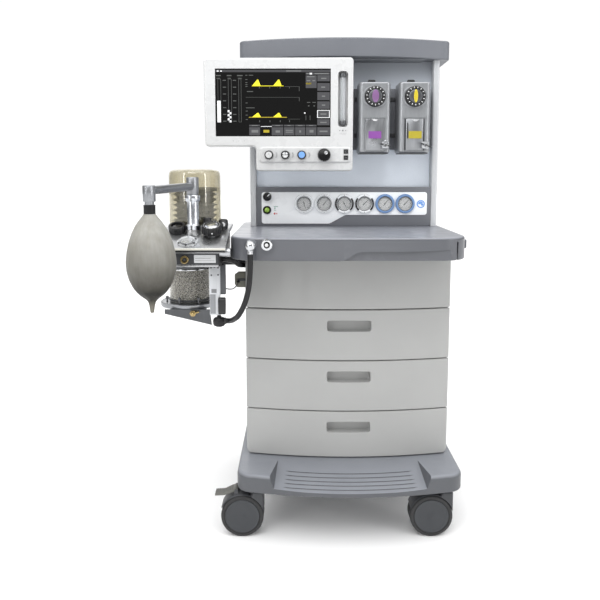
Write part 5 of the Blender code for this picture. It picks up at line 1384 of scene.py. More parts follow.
# ------------------------------------------------------------------ vaporizers on the backbar
bb = box("bb", 0.0300, 0.2800, 0.0955, 0.1298, 1.1400, 1.3350, 0.0030, 3, mat=GREY_PANEL)
rails = [box("bar", 0.0330, 0.2770, 0.0935, 0.0960, z - 0.007, z + 0.007, 0.0010, 2, mat=GREY_DARK) for z in (1.185, 1.300)]
put(merged("bb", bb, *rails), "backbar_block", None, repl=["backbar"], smooth=36)
for n, (x, lens, lab) in enumerate(((0.0885, PURPLE_LT, PURPLE), (0.2125, YELLOW_LT, YELLOW))):
    DZ = 1.2980
    v = prism("vap", rrect(x - 0.0488, x + 0.0488, 0.0, 0.0930, 0.0130, 10), 1.1262, 1.3430, "Z", 0.0055, 4, 50)
    # the head overhangs the lower part by a thin shadow line
    line = prism("line", rrect(x - 0.0392, x + 0.0392, 1.2312, 1.2338, 0.0010, 3), -0.02, 0.0035, "Y")
    well = prism("well", rrect(x - 0.0330, x + 0.0330, 1.1300, 1.2312, 0.0030, 5), -0.02, 0.0022, "Y")
    v = cut(v, line, well, cyl("db", (x, 0.0160, DZ), (x, -0.03, DZ), 0.0045, 20), cyl("lb", (x - 0.007, 0.0400, 1.330), (x - 0.007, 0.0400, 1.36), 0.0035, 16))
    v = bevel(v, 0.0007, 2, 60)
    put(v, f"vaporizer_body_{n + 1}", SILVER, repl=[f"vaporizer_{n + 1}"], smooth=34, weight=True)
    foot = [prism("foot", rrect(x - 0.0455, x + 0.0455, 0.0025, 0.0900, 0.0120, 8), 1.1235, 1.1262, "Z", 0.0008, 2, mat=BLACK),
            box("hook", x - 0.0420, x + 0.0420, 0.0900, 0.0954, 1.1500, 1.3300, 0.0015, 2, mat=GREY_DARK)]
    put(merged("foot", *foot), f"vaporizer_foot_{n + 1}", None, smooth=34)
    # release collar behind the dial
    el = [(x + 0.0405 * math.cos(TAU * k / 72), DZ + 0.0335 * math.sin(TAU * k / 72)) for k in range(72)]
    col = prism("collar", el, -0.0030, 0.0005, "Y", 0.0013, 3)
    col = cut(col, cyl("hole", (x, 0.01, DZ), (x, -0.02, DZ), 0.0325, 72))
    put(col, f"vaporizer_collar_{n + 1}", SILVER, smooth=34)
    # window plate
    if n == 0:
        pl = prism("plate", rrect(x - 0.0292, x + 0.0292, 1.1322, 1.2300, 0.0040, 6), -0.0040, 0.0021, "Y", 0.0010, 2, mat=ALU_ARM)
        pl = cut(pl, cyl("sc", (x + 0.0015, 0.01, 1.2345), (x + 0.0015, -0.02, 1.2345), 0.0118, 40))
        bits = [pl, prism("moon", [(x + 0.0015 + 0.0112 * math.cos(rad(180 + 180 * k / 20)), 1.2300 + 0.0080 * math.sin(rad(180 + 180 * k / 20))) for k in range(21)],
                          -0.0030, 0.0021, "Y", 0.0006, 2, mat=STEEL)]
    else:
        sec = [(x - 0.0268 + 0.0536 * k / 24, -0.0020 - 0.0052 * math.cos(rad(-90 + 180 * k / 24))) for k in range(25)]
        pl = prism("plate", sec + [(x + 0.0268, 0.0021), (x - 0.0268, 0.0021)], 1.1330, 1.2300, "Z", 0.0006, 2, 60, mat=ALU_ARM)
        bits = [pl, box("s", x - 0.0305, x - 0.0276, -0.0026, 0.0021, 1.1330, 1.2300, 0.0006, 2, mat=GREY_DARK),
                box("s", x + 0.0276, x + 0.0305, -0.0026, 0.0021, 1.1330, 1.2300, 0.0006, 2, mat=GREY_DARK),
                box("sight", x - 0.0236, x - 0.0212, -0.0072, -0.0020, 1.1700, 1.2180, 0.0006, 2, mat=BLACK),
                prism("moon", [(x + 0.0015 + 0.0112 * math.cos(rad(180 + 180 * k / 20)), 1.2295 + 0.0080 * math.sin(rad(180 + 180 * k / 20))) for k in range(21)],
                      -0.0080, -0.0050, "Y", 0.0006, 2, mat=ALU)]
    lw = (-0.0195, 0.0205) if n == 0 else (-0.0190, 0.0215)
    bits.append(box("label", x + lw[0], x + lw[1], -0.0049 if n == 0 else -0.0078, -0.0035, 1.1695, 1.1920, 0.0004, 1, mat=lab))
    put(merged("window", *bits), f"vaporizer_window_{n + 1}", None, smooth=34)
    # filler with a wing screw
    f = [box("block", x + 0.0215, x + 0.0435, -0.0130, 0.0005, 1.1380, 1.1590, 0.0020, 3, mat=ALU),
         turned("screw", [(0, 0.0090), (0.0040, 0.0090), (0.0052, 0.0078), (0.0056, 0.0), (0, 0)], (x + 0.0325, -0.0130, 1.1485), "-Y", 36, CHROME)]
    w = box("wing", -0.0165, 0.0175, -0.0205, -0.0165, -0.0020, 0.0020, 0.0012, 3, mat=GREY_DARK)
    w.data.transform(Matrix.Translation((x + 0.0325, 0, 1.1485)) @ Matrix.Rotation(rad(14 if n == 0 else 20), 4, "Y"))
    f.append(w)
    if n == 0:
        f.append(rod("loop", [(x + 0.0325 + 0.0062 * math.cos(TAU * k / 24), -0.0195, 1.1535 + 0.0098 * math.sin(TAU * k / 24)) for k in range(25)], 0.0013, 25, 3, CHROME, smooth=False))
    put(merged("filler", *f), f"vaporizer_filler_{n + 1}", None, smooth=34)
    # dial
    d = turned("dial", [(0, 0.0138), (0.0205, 0.0138), (0.0212, 0.0150), (0.0224, 0.0152), (0.0290, 0.0140), (0.0308, 0.0128), (0.0320, 0.0105), (0.0320, 0.0004),
                        (0.0040, 0.0004), (0.0040, -0.0140), (0, -0.0140)], (x, 0.0, DZ), "-Y", 96, BLACK)
    d = cut(d, *[cyl("fl", (x + 0.0330 * math.cos(TAU * j / 36), 0.0, DZ + 0.0330 * math.sin(TAU * j / 36)),
                     (x + 0.0328 * math.cos(TAU * j / 36), -0.0160, DZ + 0.0328 * math.sin(TAU * j / 36)), 0.0016, 8) for j in range(36)])
    hub = turned("hub", [(0, 0.0164), (0.0120, 0.0163), (0.0180, 0.0156), (0.0203, 0.0145), (0.0205, 0.0130), (0, 0.0130)], (x, 0.0, DZ), "-Y", 64, ALU_DK)
    ex, ez = (0.0108, 0.0200) if n == 0 else (0.0066, 0.0203)
    lensm = bmesh.new()
    rings = []
    for s_, y in ((1.0, -0.0150), (0.97, -0.0170), (0.85, -0.0176), (0.5, -0.01795), (0.0, -0.0180)):
        rings.append([lensm.verts.new((x + ex * s_ * math.cos(TAU * k / 56), y, DZ + ez * s_ * math.sin(TAU * k / 56))) for k in range(56)] if s_ else [lensm.verts.new((x, y, DZ))])
    for a, b in zip(rings, rings[1:]):
        for k in range(56):
            j = (k + 1) % 56
            lensm.faces.new((a[k], a[j], b[0]) if len(b) == 1 else (a[k], a[j], b[j], b[k]))
    lensm.faces.new(rings[0])
    le = raw("lens", lensm, lens)
    ticks = []
    for j in range(15):
        t = rad(102 - 24 * j)
        c, s_ = math.cos(t), math.sin(t)
        r0, r1, w_ = 0.0240, 0.0284, 0.0008
        ticks.append([(x + r0 * c - w_ * s_, DZ + r0 * s_ + w_ * c), (x + r0 * c + w_ * s_, DZ + r0 * s_ - w_ * c),
                      (x + r1 * c + w_ * s_, DZ + r1 * s_ - w_ * c), (x + r1 * c - w_ * s_, DZ + r1 * s_ + w_ * c)])
    tk = plates("ticks", ticks, -0.0158, -0.0140, WHITE_INK)
    put(merged("dial", d, hub, le, tk), f"vaporizer_dial_{n + 1}_face", None, f"vaporizer_dial_{n + 1}", [f"vaporizer_dial_{n + 1}"], 36)
    lk = [prism("lock", rounded([(x - 0.0188, 0.0312, 0.004), (x + 0.0048, 0.0312, 0.004), (x + 0.0048, 0.0488, 0.004), (x - 0.0188, 0.0488, 0.004)], 6), 1.3434, 1.3530, "Z", 0.0016, 3, mat=BLACK),
          prism("rib", rrect(x - 0.0170, x + 0.0030, 0.0375, 0.0425, 0.002, 5), 1.3520, 1.3549, "Z", 0.0009, 2, mat=BLACK),
          cyl("pin", (x - 0.007, 0.0400, 1.3320), (x - 0.007, 0.0400, 1.3450), 0.0030, 20, mat=STEEL)]
    put(merged("lock", *lk), f"vaporizer_lock_{n + 1}_lever", None, f"vaporizer_lock_{n + 1}", [f"vaporizer_lock_{n + 1}"], 36)

# ------------------------------------------------------------------ absorber: plate, block and bracket
PY0, PY1, PY2 = -0.3150, -0.2050, -0.0100        # front lip, crease and back of the plate
LIP, SHELF = 0.8600, 0.9055
SL = math.atan2(SHELF - LIP, PY1 - PY0)


def slope_z(y):
    return LIP + (y - PY0) * math.tan(SL)


def tilt(ob, x, y):
    """Stand a piece modelled round the origin square to the sloping part of the plate."""
    ob.data.transform(Matrix.Translation((x, y, slope_z(y))) @ Matrix.Rotation(SL, 4, "X"))
    return ob


def slab_bent(name, inset, d0, d1, mat, bev=0.0):
    """A sheet bent like the plate, between d0 and d1 below its top face."""
    prof = []
    for d, rev in ((d0, False), (d1, True)):
        c, t = d / math.cos(SL), d * math.tan(SL / 2)
        y0 = PY0 + inset
        run = [(y0, slope_z(y0) - c)]
        for k in range(5):                       # eased crease
            u = -1 + k / 2
            run.append((PY1 + t + 0.006 * u, SHELF - d - (0.006 * math.tan(SL) * ((1 - u) / 2) ** 2)))
        run.append((PY2 - inset, SHELF - d))
        prof += list(reversed(run)) if rev else run
    ob = prism(name, prof, -0.5350 + inset, -0.3430 - inset, "X")
    taper = prism("taper", [(-0.34208 - inset, -0.2200), (-0.3200, -0.2200), (-0.3200, 0.0100), (-0.35623 - inset, 0.0100)], 0.80, 0.93, "Z")
    ob = cut(ob, taper)
    ob.data.materials.clear()
    ob.data.materials.append(mat)
    return bevel(ob, bev, 3, 50) if bev else ob


top = slab_bent("plate", 0.0, 0.0, 0.0080, ALU_X, 0.0016)
seam = slab_bent("seam", 0.0060, 0.0078, 0.0108, BLACK)
low = slab_bent("low", 0.0012, 0.0107, 0.0129, ALU_X, 0.0004)
front_low = box("front_low", -0.5338, -0.3442, -0.3120, -0.3020, 0.8461, 0.8480, 0.0005, 2, mat=ALU_LT)
# painted highlight and shadow: the pale strip on the plate's front lip stands in for its highlight, the black strip
# under it for the shade below the lip
lip_highlight_and_shadow = [box("edge", -0.5343, -0.3438, -0.3158, -0.3120, 0.8542, 0.8597, 0.0010, 2, mat=PAINTED_EDGE_HIGHLIGHT),
          box("shadow_gap", -0.5330, -0.3450, -0.3153, -0.3118, 0.8484, 0.8544, 0.0003, 1, mat=BLACK)]
blk = prism("block", [(-0.2950, 0.8055), (-0.2950, 0.8565), (-0.2050, 0.8935), (-0.0150, 0.8935), (-0.0150, 0.8055)], -0.5250, -0.3640, "X", 0.0022, 3, 50, mat=BLACK)
face = box("face", -0.5235, -0.3655, -0.2958, -0.2940, 0.8080, 0.8440, 0.0006, 1, mat=GREY_DARK)
step_ = box("step", -0.5240, -0.3650, -0.2964, -0.2940, 0.8066, 0.8128, 0.0008, 2, mat=ALU_X)
side = turned("side", [(0, 0.0), (0.0105, 0.0), (0.0118, -0.0016), (0.0120, -0.0060), (0.0120, -0.0300), (0, -0.0300)], (-0.3330, -0.2800, 0.8450), "X", 48, ALU)
lab = box("label", -0.4314, -0.3724, -0.2966, -0.2950, 0.8180, 0.8400, 0.0004, 1, mat=LABEL)
br = [turned("ring", [(0.0060, -0.001), (0.0062, 0.0050), (0.0098, 0.0052), (0.0112, 0.0038), (0.0112, -0.001), (0.0060, -0.001)], (-0.4573, -0.2955, 0.8270), "-Y", 40, BRASS),
      turned("plug", [(0, 0.0030), (0.0035, 0.0028), (0.0060, 0.0010), (0.0060, -0.001), (0, -0.001)], (-0.4573, -0.2955, 0.8270), "-Y", 32, GREY_DARK)]
stripes = plates("st", [(-0.4280, -0.3760, 0.8235, 0.8243), (-0.4280, -0.3860, 0.8300, 0.8308)], -0.2970, -0.2964, GREY_INK)
put(merged("plate", top, seam, low, front_low, *lip_highlight_and_shadow, blk, face, step_, side, lab, *br, stripes), "absorber_plate", None, repl=["absorber_manifold"], smooth=34)

DX, DY = -0.4532, -0.1300
seat = turned("seat", [(0, 0.9120), (0.0660, 0.9120), (0.0770, 0.9125), (0.0790, 0.9115), (0.0790, 0.9065), (0.0790, 0.9030), (0, 0.9030)], (DX, DY, 0), "Z", 96)
put(seat, "dome_seat_ring", WHITE, smooth=34)

# valves and ports on the plate
CLEAR_CUP = clear("clear_cup", (0.88, 0.90, 0.92), 0.22, 0.05)
# front valve: aluminium seat with a steel disc under a clear screwed-down cap
put(tilt(turned("cap", [(0, 0.0125), (0.0120, 0.0123), (0.0180, 0.0113), (0.0205, 0.0095), (0.0212, 0.0060), (0.0212, 0.0040), (0.0275, 0.0038), (0.0275, 0.0018), (0.0212, 0.0012), (0, 0.0012)], steps=72), -0.4510, -0.2840),
    "valve_front_cap", CLEAR_CUP, smooth=40)
vf = [turned("seat", [(0, 0.0016), (0.0268, 0.0016), (0.0275, 0.0008), (0.0275, -0.0020), (0, -0.0020)], steps=72, mat=ALU_X),
      turned("disc", [(0, 0.0060), (0.0150, 0.0058), (0.0158, 0.0050), (0.0150, 0.0046), (0.0080, 0.0042), (0.0080, 0.0010), (0, 0.0010)], steps=48, mat=STEEL),
      turned("ringv", [(0.0175, 0.0030), (0.0195, 0.0034), (0.0200, 0.0010), (0.0175, 0.0010), (0.0175, 0.0030)], steps=48, mat=GREY_DARK)]
for j in range(6):
    a = TAU * (j + 0.5) / 6
    vf.append(turned("sc", [(0, 0.0068), (0.0022, 0.0066), (0.0029, 0.0052), (0.0029, 0.0034), (0, 0.0034)], (0.0243 * math.cos(a), 0.0243 * math.sin(a), 0), "Z", 16, SCREW))
for o in vf:
    tilt(o, -0.4510, -0.2840)
put(merged("valve_front", *vf), "valve_front_seat", None, smooth=36)
# left valve: black ring round a smoked cap
vl = [turned("ring", [(0.0170, 0.0215), (0.0215, 0.0220), (0.0232, 0.0210), (0.0240, 0.0185), (0.0240, 0.0040), (0.0225, 0.0020), (0.0225, -0.0040), (0, -0.0040), (0, 0.0100), (0.0170, 0.0100), (0.0170, 0.0215)], steps=80, mat=BLACK)]
vl[0] = cut(vl[0], *[cyl("fl", (0.0252 * math.cos(TAU * j / 20), 0.0252 * math.sin(TAU * j / 20), 0.0035), (0.0252 * math.cos(TAU * j / 20), 0.0252 * math.sin(TAU * j / 20), 0.0250), 0.0021, 10) for j in range(20)])
vl.append(turned("in", [(0, 0.0185), (0.0110, 0.0183), (0.0160, 0.0165), (0.0169, 0.0140), (0.0169, 0.0100), (0, 0.0100)], steps=48, mat=BLACK_GLOSS))
for o in vl:
    tilt(o, -0.4880, -0.2260)
put(merged("valve_left", *vl), "valve_left_ring", None, smooth=36)
# right port behind the post and the exhaust elbow beside the limiting valve
put(turned("port", [(0, 0.9320), (0.0080, 0.9325), (0.0088, 0.9350), (0.0110, 0.9350), (0.0120, 0.9335), (0.0120, 0.9150), (0.0108, 0.9140), (0.0108, 0.8990), (0, 0.8990)], (-0.4065, -0.2080, 0), "Z", 48), "valve_right_port", BLACK, smooth=36)
ex = [turned("body", [(0, 0.9320), (0.0075, 0.9319), (0.0112, 0.9300), (0.0131, 0.9262), (0.0135, 0.9220), (0.0135, 0.9130), (0.0128, 0.9120), (0.0128, 0.8990), (0, 0.8990)], (-0.3616, -0.2050, 0), "Z", 56, BLACK),
      turned("nose", [(0, 0.0170), (0.0060, 0.0170), (0.0085, 0.0160), (0.0092, 0.0140), (0.0092, 0.0), (0, 0)], (-0.3590, -0.2150, 0.9180), "-Y", 44, BLACK),
      turned("neck", [(0.0062, 0.0185), (0.0066, 0.0165), (0, 0.0165), (0, 0.0185), (0.0062, 0.0185)], (-0.3590, -0.2150, 0.9180), "-Y", 44, STEEL)]
put(merged("exhaust", *ex), "exhaust_elbow", None, smooth=36)

# pressure-limiting valve: stem on the plate, fluted knob on its own body, metal cover above
AX, AY = -0.3880, -0.2450
st = merged("stem", turned("stem", [(0, 0.0080), (0.0105, 0.0080), (0.0120, 0.0064), (0.0120, 0.0022), (0.0120, -0.0030), (0, -0.0030)], steps=48, mat=STEEL),
            cyl("pin", (0, 0, 0.0060), (0, 0, 0.0210), 0.0045, 24, mat=STEEL))
put(tilt(st, AX, AY), "apl_stem", None, smooth=36)
kn = turned("knob", [(0, 0.0290), (0.0205, 0.0292), (0.0228, 0.0318), (0.0250, 0.0322), (0.0268, 0.0306), (0.0279, 0.0270), (0.0280, 0.0130), (0.0270, 0.0092), (0.0255, 0.0083), (0, 0.0083)], steps=120, mat=BLACK)
kn = cut(kn, *[cyl("fl", (0.0300 * math.cos(TAU * j / 14), 0.0300 * math.sin(TAU * j / 14), 0.0060), (0.0292 * math.cos(TAU * j / 14), 0.0292 * math.sin(TAU * j / 14), 0.0345), 0.0038, 16) for j in range(14)],
         cyl("bore", (0, 0, 0.0010), (0, 0, 0.0216), 0.0049, 24))
cover = turned("cover", [(0, 0.0340), (0.0110, 0.0337), (0.0170, 0.0326), (0.0190, 0.0308), (0.0194, 0.0296), (0.0194, 0.0286), (0, 0.0286)], steps=64, mat=CHROME)
bits = [kn, cover, turned("dot", [(0, 0.0010), (0.0016, 0.0008), (0.0020, -0.0006), (0, -0.0006)], (0.0040, -0.0280, 0.0190), "-Y", 16, WHITE_INK)]
for j in range(15):
    a = rad(-200 + 20 * j)
    o = box("t", 0.0212, 0.0232, -0.0004, 0.0004, 0.0308, 0.0323, mat=WHITE_INK)
    o.data.transform(Matrix.Rotation(a, 4, "Z"))
    bits.append(o)
put(tilt(merged("apl", *bits), AX, AY), "apl_knob", None, "apl_valve", ["apl_valve"], 36)

bk = join(box("bracket", -0.5000, -0.3022, -0.0800, -0.0200, 0.7830, 0.8050, 0.0025, 3), box("bp", -0.3082, -0.3022, -0.0950, 0.0100, 0.7000, 0.8220, 0.0018, 2))
bk = merged("bk", bk, *[turned("sc", [(0, 0.0034), (0.0040, 0.0032), (0.0052, 0.0020), (0.0052, 0), (0, 0)], (-0.3082 - 0.0034, y, z), "X", 24, SCREW) for y, z in ((-0.083, 0.712), (-0.002, 0.712), (-0.083, 0.812), (-0.002, 0.812))])
bk.data.materials[0] = GREY_DARK
put(bk, "absorber_arm_bracket", None, repl=["absorber_bracket"], smooth=34)

# ------------------------------------------------------------------ bellows under the smoked dome
dome = turned("dome", [(0, 1.0735), (0.0300, 1.0732), (0.0500, 1.0722), (0.0630, 1.0702), (0.0700, 1.0672), (0.0732, 1.0620), (0.0744, 1.0540), (0.0748, 1.0200), (0.0754, 0.9200),
                       (0.0755, 0.9128), (0.0732, 0.9128), (0.0731, 0.9200), (0.0725, 1.0200), (0.0720, 1.0530), (0.0708, 1.0600), (0.0682, 1.0648), (0.0620, 1.0676), (0.0495, 1.0694), (0.0300, 1.0704), (0, 1.0708)],
              (DX, DY, 0), "Z", 112)
put(dome, "bellows_dome_shell", DOME, repl=["bellows_dome"], smooth=50)
prof = [(0, 1.0196), (0.0500, 1.0197), (0.0590, 1.0200), (0.0640, 1.0186), (0.0655, 1.0160), (0.0655, 1.0110), (0.0640, 1.0094)]
folds, z_hi, z_lo = 6, 1.0080, 0.9160
for k in range(folds):
    zt = z_hi - (z_hi - z_lo) * k / folds
    zb = z_hi - (z_hi - z_lo) * (k + 1) / folds
    zm = (zt + zb) / 2
    h = zt - zb
    prof += [(0.0540, zt - 0.02 * h), (0.0520, zt - 0.12 * h), (0.0540, zt - 0.22 * h), (0.0630, zm + 0.07 * h), (0.0652, zm - 0.03 * h), (0.0630, zm - 0.13 * h), (0.0545, zb + 0.10 * h)]
prof += [(0.0560, 0.9154), (0.0630, 0.9148), (0.0640, 0.9137), (0, 0.9137)]
bl = turned("bellows", prof, (DX, DY, 0), "Z", 96, BELLOWS)
bl = put(bl, "bellows_concertina", BELLOWS, "bellows", ["bellows"], 60)
bl.parent = None
bl.matrix_parent_inverse = Matrix.Identity(4)
bl.matrix_world = Matrix.Identity(4)
del bl["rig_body"]
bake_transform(bl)
put(turned("disc", [(0, 1.0225), (0.0100, 1.0225), (0.0115, 1.0206), (0.0480, 1.0202), (0.0500, 1.0198), (0, 1.0198)], (DX, DY, 0), "Z", 72), "bellows_top_disc", GREY_DARK, "bellows", smooth=40)

# ------------------------------------------------------------------ bag post, arm and breathing bag
PX, PY_ = -0.4419, -0.2350
BX, BY = -0.5140, -0.4400
post = turned("post", [(0, 1.0430), (0.0070, 1.0430), (0.0080, 1.0420), (0.0080, 1.0006), (0.0180, 1.0008), (0.0195, 1.0002), (0.0207, 0.9985), (0.0207, 0.9845), (0.0195, 0.9825), (0.0165, 0.9820),
                       (0.0163, 0.9200), (0.0170, 0.9190), (0.0190, 0.9180), (0.0205, 0.9160), (0.0205, 0.9043), (0, 0.9043)], (PX, PY_, 0), "Z", 72, POST)
pad = cyl("pad", (PX, PY_, 0.8860), (PX, PY_, 0.9040), 0.0205, 64, bev=0.0008, mat=ALU_X)
put(merged("post", post, pad), "bag_post_column", None, repl=["bag_post"], smooth=36)
head = turned("head", [(0.0083, 1.0435), (0, 1.0440), (0, 1.0496), (0.0135, 1.0496), (0.0156, 1.0490), (0.0169, 1.0472), (0.0169, 1.0034), (0.0160, 1.0014), (0.0083, 1.0012), (0.0083, 1.0435)], (PX, PY_, 0), "Z", 72, ALU_ARM)
armr = rod("rod", [(PX, PY_, 1.0240), (PX * 0.75 + BX * 0.25, PY_ * 0.75 + BY * 0.25, 1.0223), (PX * 0.5 + BX * 0.5, PY_ * 0.5 + BY * 0.5, 1.0204), (BX, BY, 1.0165)], 0.0110, 20, 8, ALU_ARM)
armr = cut(armr, cyl("bore", (PX, PY_, 0.99), (PX, PY_, 1.0434), 0.0084, 48))
mt = turned("mount", [(0, 1.0293), (0.0125, 1.0293), (0.0145, 1.0286), (0.0157, 1.0268), (0.0157, 0.9905), (0.0148, 0.9891), (0.0117, 0.9889), (0.0115, 0.9816), (0, 0.9816)], (BX, BY, 0), "Z", 72, ALU_ARM)
put(merged("arm", head, armr, mt), "bag_arm_tube", None, "bag_arm", ["bag_arm"], 40)
ring = []
rp = [(0.0105, 0.9813), (0.0140, 0.9813), (0.0149, 0.9806)]
for k in range(7):
    z = 0.9795 - 0.0028 * k
    rp += [(0.0149, z), (0.0142, z - 0.0008), (0.0142, z - 0.0016), (0.0149, z - 0.0022)]
rp += [(0.0146, 0.9594), (0.0105, 0.9592), (0.0105, 0.9813)]
put(turned("bagring", rp, (BX, BY, 0), "Z", 64), "bag_neck_ring", RUBBER, "bag_arm", smooth=36)

# the bag: a lofted soft shell, pleated at the neck, sagging and flattened towards the tail
def bag_radius(z):
    pts = [(0.9600, 0.0138), (0.9560, 0.0160), (0.9450, 0.0252), (0.9300, 0.0362), (0.9120, 0.0455), (0.8900, 0.0532), (0.8650, 0.0592), (0.8400, 0.0618), (0.8180, 0.0604), (0.7960, 0.0550),
           (0.7760, 0.0454), (0.7620, 0.0345), (0.7530, 0.0238), (0.7470, 0.0150), (0.7420, 0.0100), (0.7340, 0.0076), (0.7240, 0.0060), (0.7150, 0.0048), (0.7110, 0.0040)]
    for (za, ra), (zb, rb) in zip(pts, pts[1:]):
        if za >= z >= zb:
            u = (za - z) / (za - zb)
            return ra + (rb - ra) * u
    return pts[-1][1]


bm = bmesh.new()
ns, nz = 96, 90
zs = [0.9600 - (0.9600 - 0.7110) * (k / nz) for k in range(nz + 1)]
rings = []
for z in zs:
    r = sum(bag_radius(min(0.96, max(0.711, z + dz))) for dz in (-0.004, 0.0, 0.004)) / 3
    t = (0.96 - z) / 0.249
    row = []
    for k in range(ns):
        a = TAU * k / ns
        neck = math.exp(-((t - 0.05) / 0.10) ** 2)
        tailz = math.exp(-((t - 0.86) / 0.07) ** 2)
        pleat = 0.5 * math.sin(13 * a + 1.3 * math.sin(2 * a)) + 0.5 * math.sin(19 * a + 0.7)
        w = neck * 0.020 * pleat + tailz * 0.045 * math.sin(7 * a + 0.9)
        nv = noise.noise(Vector((1.7 * math.cos(a), 1.7 * math.sin(a), 9.0 * t)))
        long_ = noise.noise(Vector((5.0 * math.cos(a) + 3, 5.0 * math.sin(a), 2.2 * t)))
        soft = math.sin(math.pi * min(1, max(0, t)))
        rr = r * (1 + w + soft * (0.012 * nv + 0.012 * long_))
        seam_ = soft * 0.0007 * math.exp(-((((a - 0.35 + math.pi) % TAU) - math.pi) / 0.03) ** 2)
        row.append(bm.verts.new((BX + (rr + seam_) * math.cos(a) + 0.0010 * math.sin(3.0 * t), BY + (rr + seam_) * math.sin(a) * 0.97, z)))
    rings.append(row)
for a_, b_ in zip(rings, rings[1:]):
    for k in range(ns):
        j = (k + 1) % ns
        bm.faces.new((a_[k], a_[j], b_[j], b_[k]))
bm.faces.new(rings[0])
bm.faces.new(list(reversed(rings[-1])))
bag = raw("bag", bm, BAG_RUBBER)
put(bag, "breathing_bag_skin", BAG_RUBBER, "bag_arm", ["breathing_bag"], 60, sub=1)

# ------------------------------------------------------------------ soda lime canister
CX, CY = -0.4685, -0.1600
put(turned("lime", [(0, 0.7885), (0.0550, 0.7885), (0.0562, 0.7870), (0.0562, 0.6925), (0, 0.6925)], (CX, CY, 0), "Z", 96), "canister_lime", LIME, repl=["canister_jar"], smooth=40)
put(turned("jar", [(0.0568, 0.7890), (0.0580, 0.7890), (0.0580, 0.6908), (0.0568, 0.6908), (0.0568, 0.7890)], (CX, CY, 0), "Z", 96), "canister_wall", clear("canister_wall", (0.80, 0.79, 0.74), 0.10, 0.05), smooth=40)
tr = [turned("ring", [(0, 0.8030), (0.0715, 0.8030), (0.0740, 0.8010), (0.0740, 0.7945), (0.0725, 0.7925), (0.0640, 0.7905), (0.0600, 0.7890), (0, 0.7890)], (CX, CY, 0), "Z", 96, ALU_DK),
      turned("band", [(0.0578, 0.7880), (0.0600, 0.7878), (0.0604, 0.7860), (0.0600, 0.7842), (0.0578, 0.7840), (0.0578, 0.7880)], (CX, CY, 0), "Z", 96, STEEL),
      turned("band2", [(0.0578, 0.6990), (0.0600, 0.6988), (0.0606, 0.6965), (0.0602, 0.6940), (0.0578, 0.6938), (0.0578, 0.6990)], (CX, CY, 0), "Z", 96, GREY_DARK)]
put(merged("rings", *tr), "canister_rings", None, smooth=36)
tray = turned("tray", [(0, 0.6895), (0.0620, 0.6895), (0.0650, 0.6880), (0.0790, 0.6888), (0.0815, 0.6902), (0.0840, 0.6885), (0.0840, 0.6800), (0.0825, 0.6770), (0.0790, 0.6760), (0, 0.6760)], (CX, CY, 0), "Z", 112, ALU_ARM)
cradle = prism("cradle", [(-0.5255, 0.6790), (-0.5255, 0.6660), (-0.3928, 0.6341), (-0.3980, 0.6790)], -0.2462, -0.2432, "Y", 0.0006, 1, mat=ALU_DK)
web = box("web", -0.5100, -0.4100, -0.2445, -0.2200, 0.6762, 0.6790, mat=ALU_DK)
cl = []
for a in (rad(212), rad(255), rad(300)):
    x, y = CX + 0.0700 * math.cos(a), CY + 0.0700 * math.sin(a)
    cl.append(turned("clamp", [(0, 0.7085), (0.0034, 0.7085), (0.0044, 0.7072), (0.0044, 0.7000), (0.0026, 0.6990), (0.0026, 0.6895), (0, 0.6895)], (x, y, 0), "Z", 20, SCREW))
put(merged("tray", tray, cradle, web, *cl), "canister_tray_plate", None, repl=["canister_tray"], smooth=36)
dv = [turned("hex", [(0, 0.0160), (0.0042, 0.0160), (0.0052, 0.0150), (0.0056, 0.0104), (0.0090, 0.0098), (0.0090, 0.0040), (0.0072, 0.0034), (0.0072, 0.0003), (0, 0.0003)], (-0.4447, -0.2462, 0.6690), "-Y", 6, BRASS),
      turned("nose", [(0, 0.0168), (0.0026, 0.0168), (0.0036, 0.0160), (0.0036, 0.0120), (0, 0.0120)], (-0.4447, -0.2462, 0.6690), "-Y", 20, BRASS),
      cyl("arm", (-0.4447, -0.2560, 0.6690), (-0.4270, -0.2560, 0.6740), 0.0026, 14, mat=BRASS)]
put(merged("drain", *dv), "drain_cock", None, repl=["drain_valve"], smooth=30)
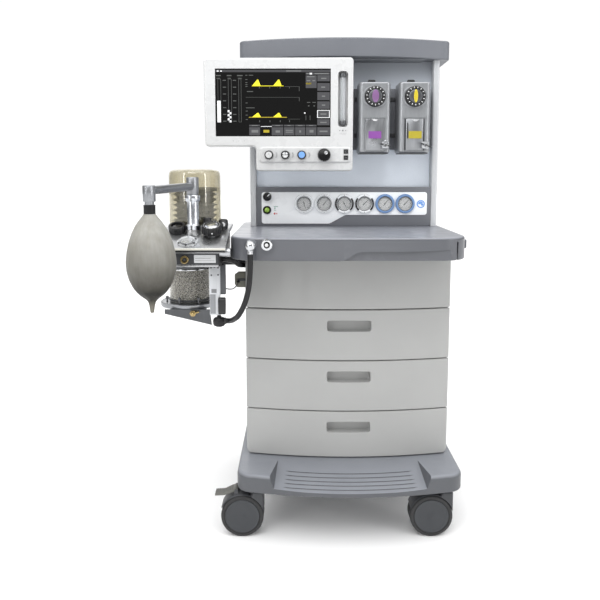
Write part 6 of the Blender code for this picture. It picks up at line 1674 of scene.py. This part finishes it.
# latch strip with its five screws, frame, lever and hose elbow
st = [prism("strip", rrect(-0.3957, -0.3656, 0.6660, 0.8075, 0.0015, 3), -0.2620, -0.2585, "Y", 0.0006, 2, mat=ALU_LT),
      prism("frame", rrect(-0.3760, -0.3513, 0.7240, 0.8075, 0.0015, 3), -0.2584, -0.2462, "Y", 0.0012, 2, mat=ALU_DK)]
for x, z in ((-0.3905, 0.8000), (-0.3806, 0.8020), (-0.3710, 0.8000), (-0.3900, 0.7790), (-0.3712, 0.7800)):
    st.append(screw_head(x, -0.2622, z, 0.0024))
st.append(box("plate2", -0.3945, -0.3790, -0.2628, -0.2618, 0.6700, 0.7250, 0.0003, 1, mat=ALU_ARM))
st.append(box("mark", -0.3905, -0.3760, -0.2626, -0.2619, 0.7290, 0.7400, 0.0002, 1, mat=GREY_INK))
put(merged("latch", *st), "canister_latch_strip", None, smooth=34)
LV = (-0.3600, -0.2735, 0.7083)
lev = [(LV[1] + 0.0107 * math.cos(rad(180 * k / 16)), LV[2] + 0.0107 * math.sin(rad(180 * k / 16))) for k in range(17)] + [(-0.2828, 0.6800), (-0.2810, 0.6716), (-0.2670, 0.6716), (-0.2650, 0.6800)]
lv = prism("lever", lev, -0.3700, -0.3500, "X", 0.0026, 3, 40, mat=BLACK)
put(lv, "canister_lever_grip", BLACK, "canister_lever", ["canister_lever"], 36)
el = turned("elbow", [(0, 0.6655), (0.0048, 0.6655), (0.0060, 0.6640), (0.0060, 0.6602), (0.0120, 0.6596), (0.0156, 0.6570), (0.0172, 0.6520), (0.0176, 0.6465), (0.0170, 0.6410), (0.0145, 0.6365), (0.0090, 0.6340), (0, 0.6335)],
            (-0.3700, -0.2600, 0), "Z", 56, RUBBER)
nut = turned("nut", [(0, 0.0030), (0.0086, 0.0030), (0.0092, 0.0020), (0.0092, -0.0040), (0, -0.0040)], (-0.3535 , -0.2600, 0.6495), "X", 32, BLACK)
put(merged("elbow", el, nut), "hose_elbow_body", None, repl=["hose_elbow"], smooth=50)

# sensor connector on the cabinet side
pl = prism("plug", rounded([(-0.3410, 0.7290, 0.003), (-0.3340, 0.7190, 0.003), (-0.3024, 0.7190, 0.002), (-0.3024, 0.7660, 0.003), (-0.3300, 0.7660, 0.003), (-0.3410, 0.7580, 0.003)], 4),
           -0.1150, -0.0990, "Y", 0.0018, 3, mat=OLIVE)
put(merged("plug", pl, box("band", -0.3330, -0.3060, -0.1158, -0.1140, 0.7385, 0.7465, 0.0006, 2, mat=GREY_DARK),
           turned("gland", [(0.0030, 0.0110), (0.0034, 0.0090), (0.0048, 0.0), (0, 0), (0, 0.0110)], (-0.3300, -0.1138, 0.7370), "-Y", 20, BLACK)),
    "sensor_connector", None, repl=["sensor_plug"], smooth=36)
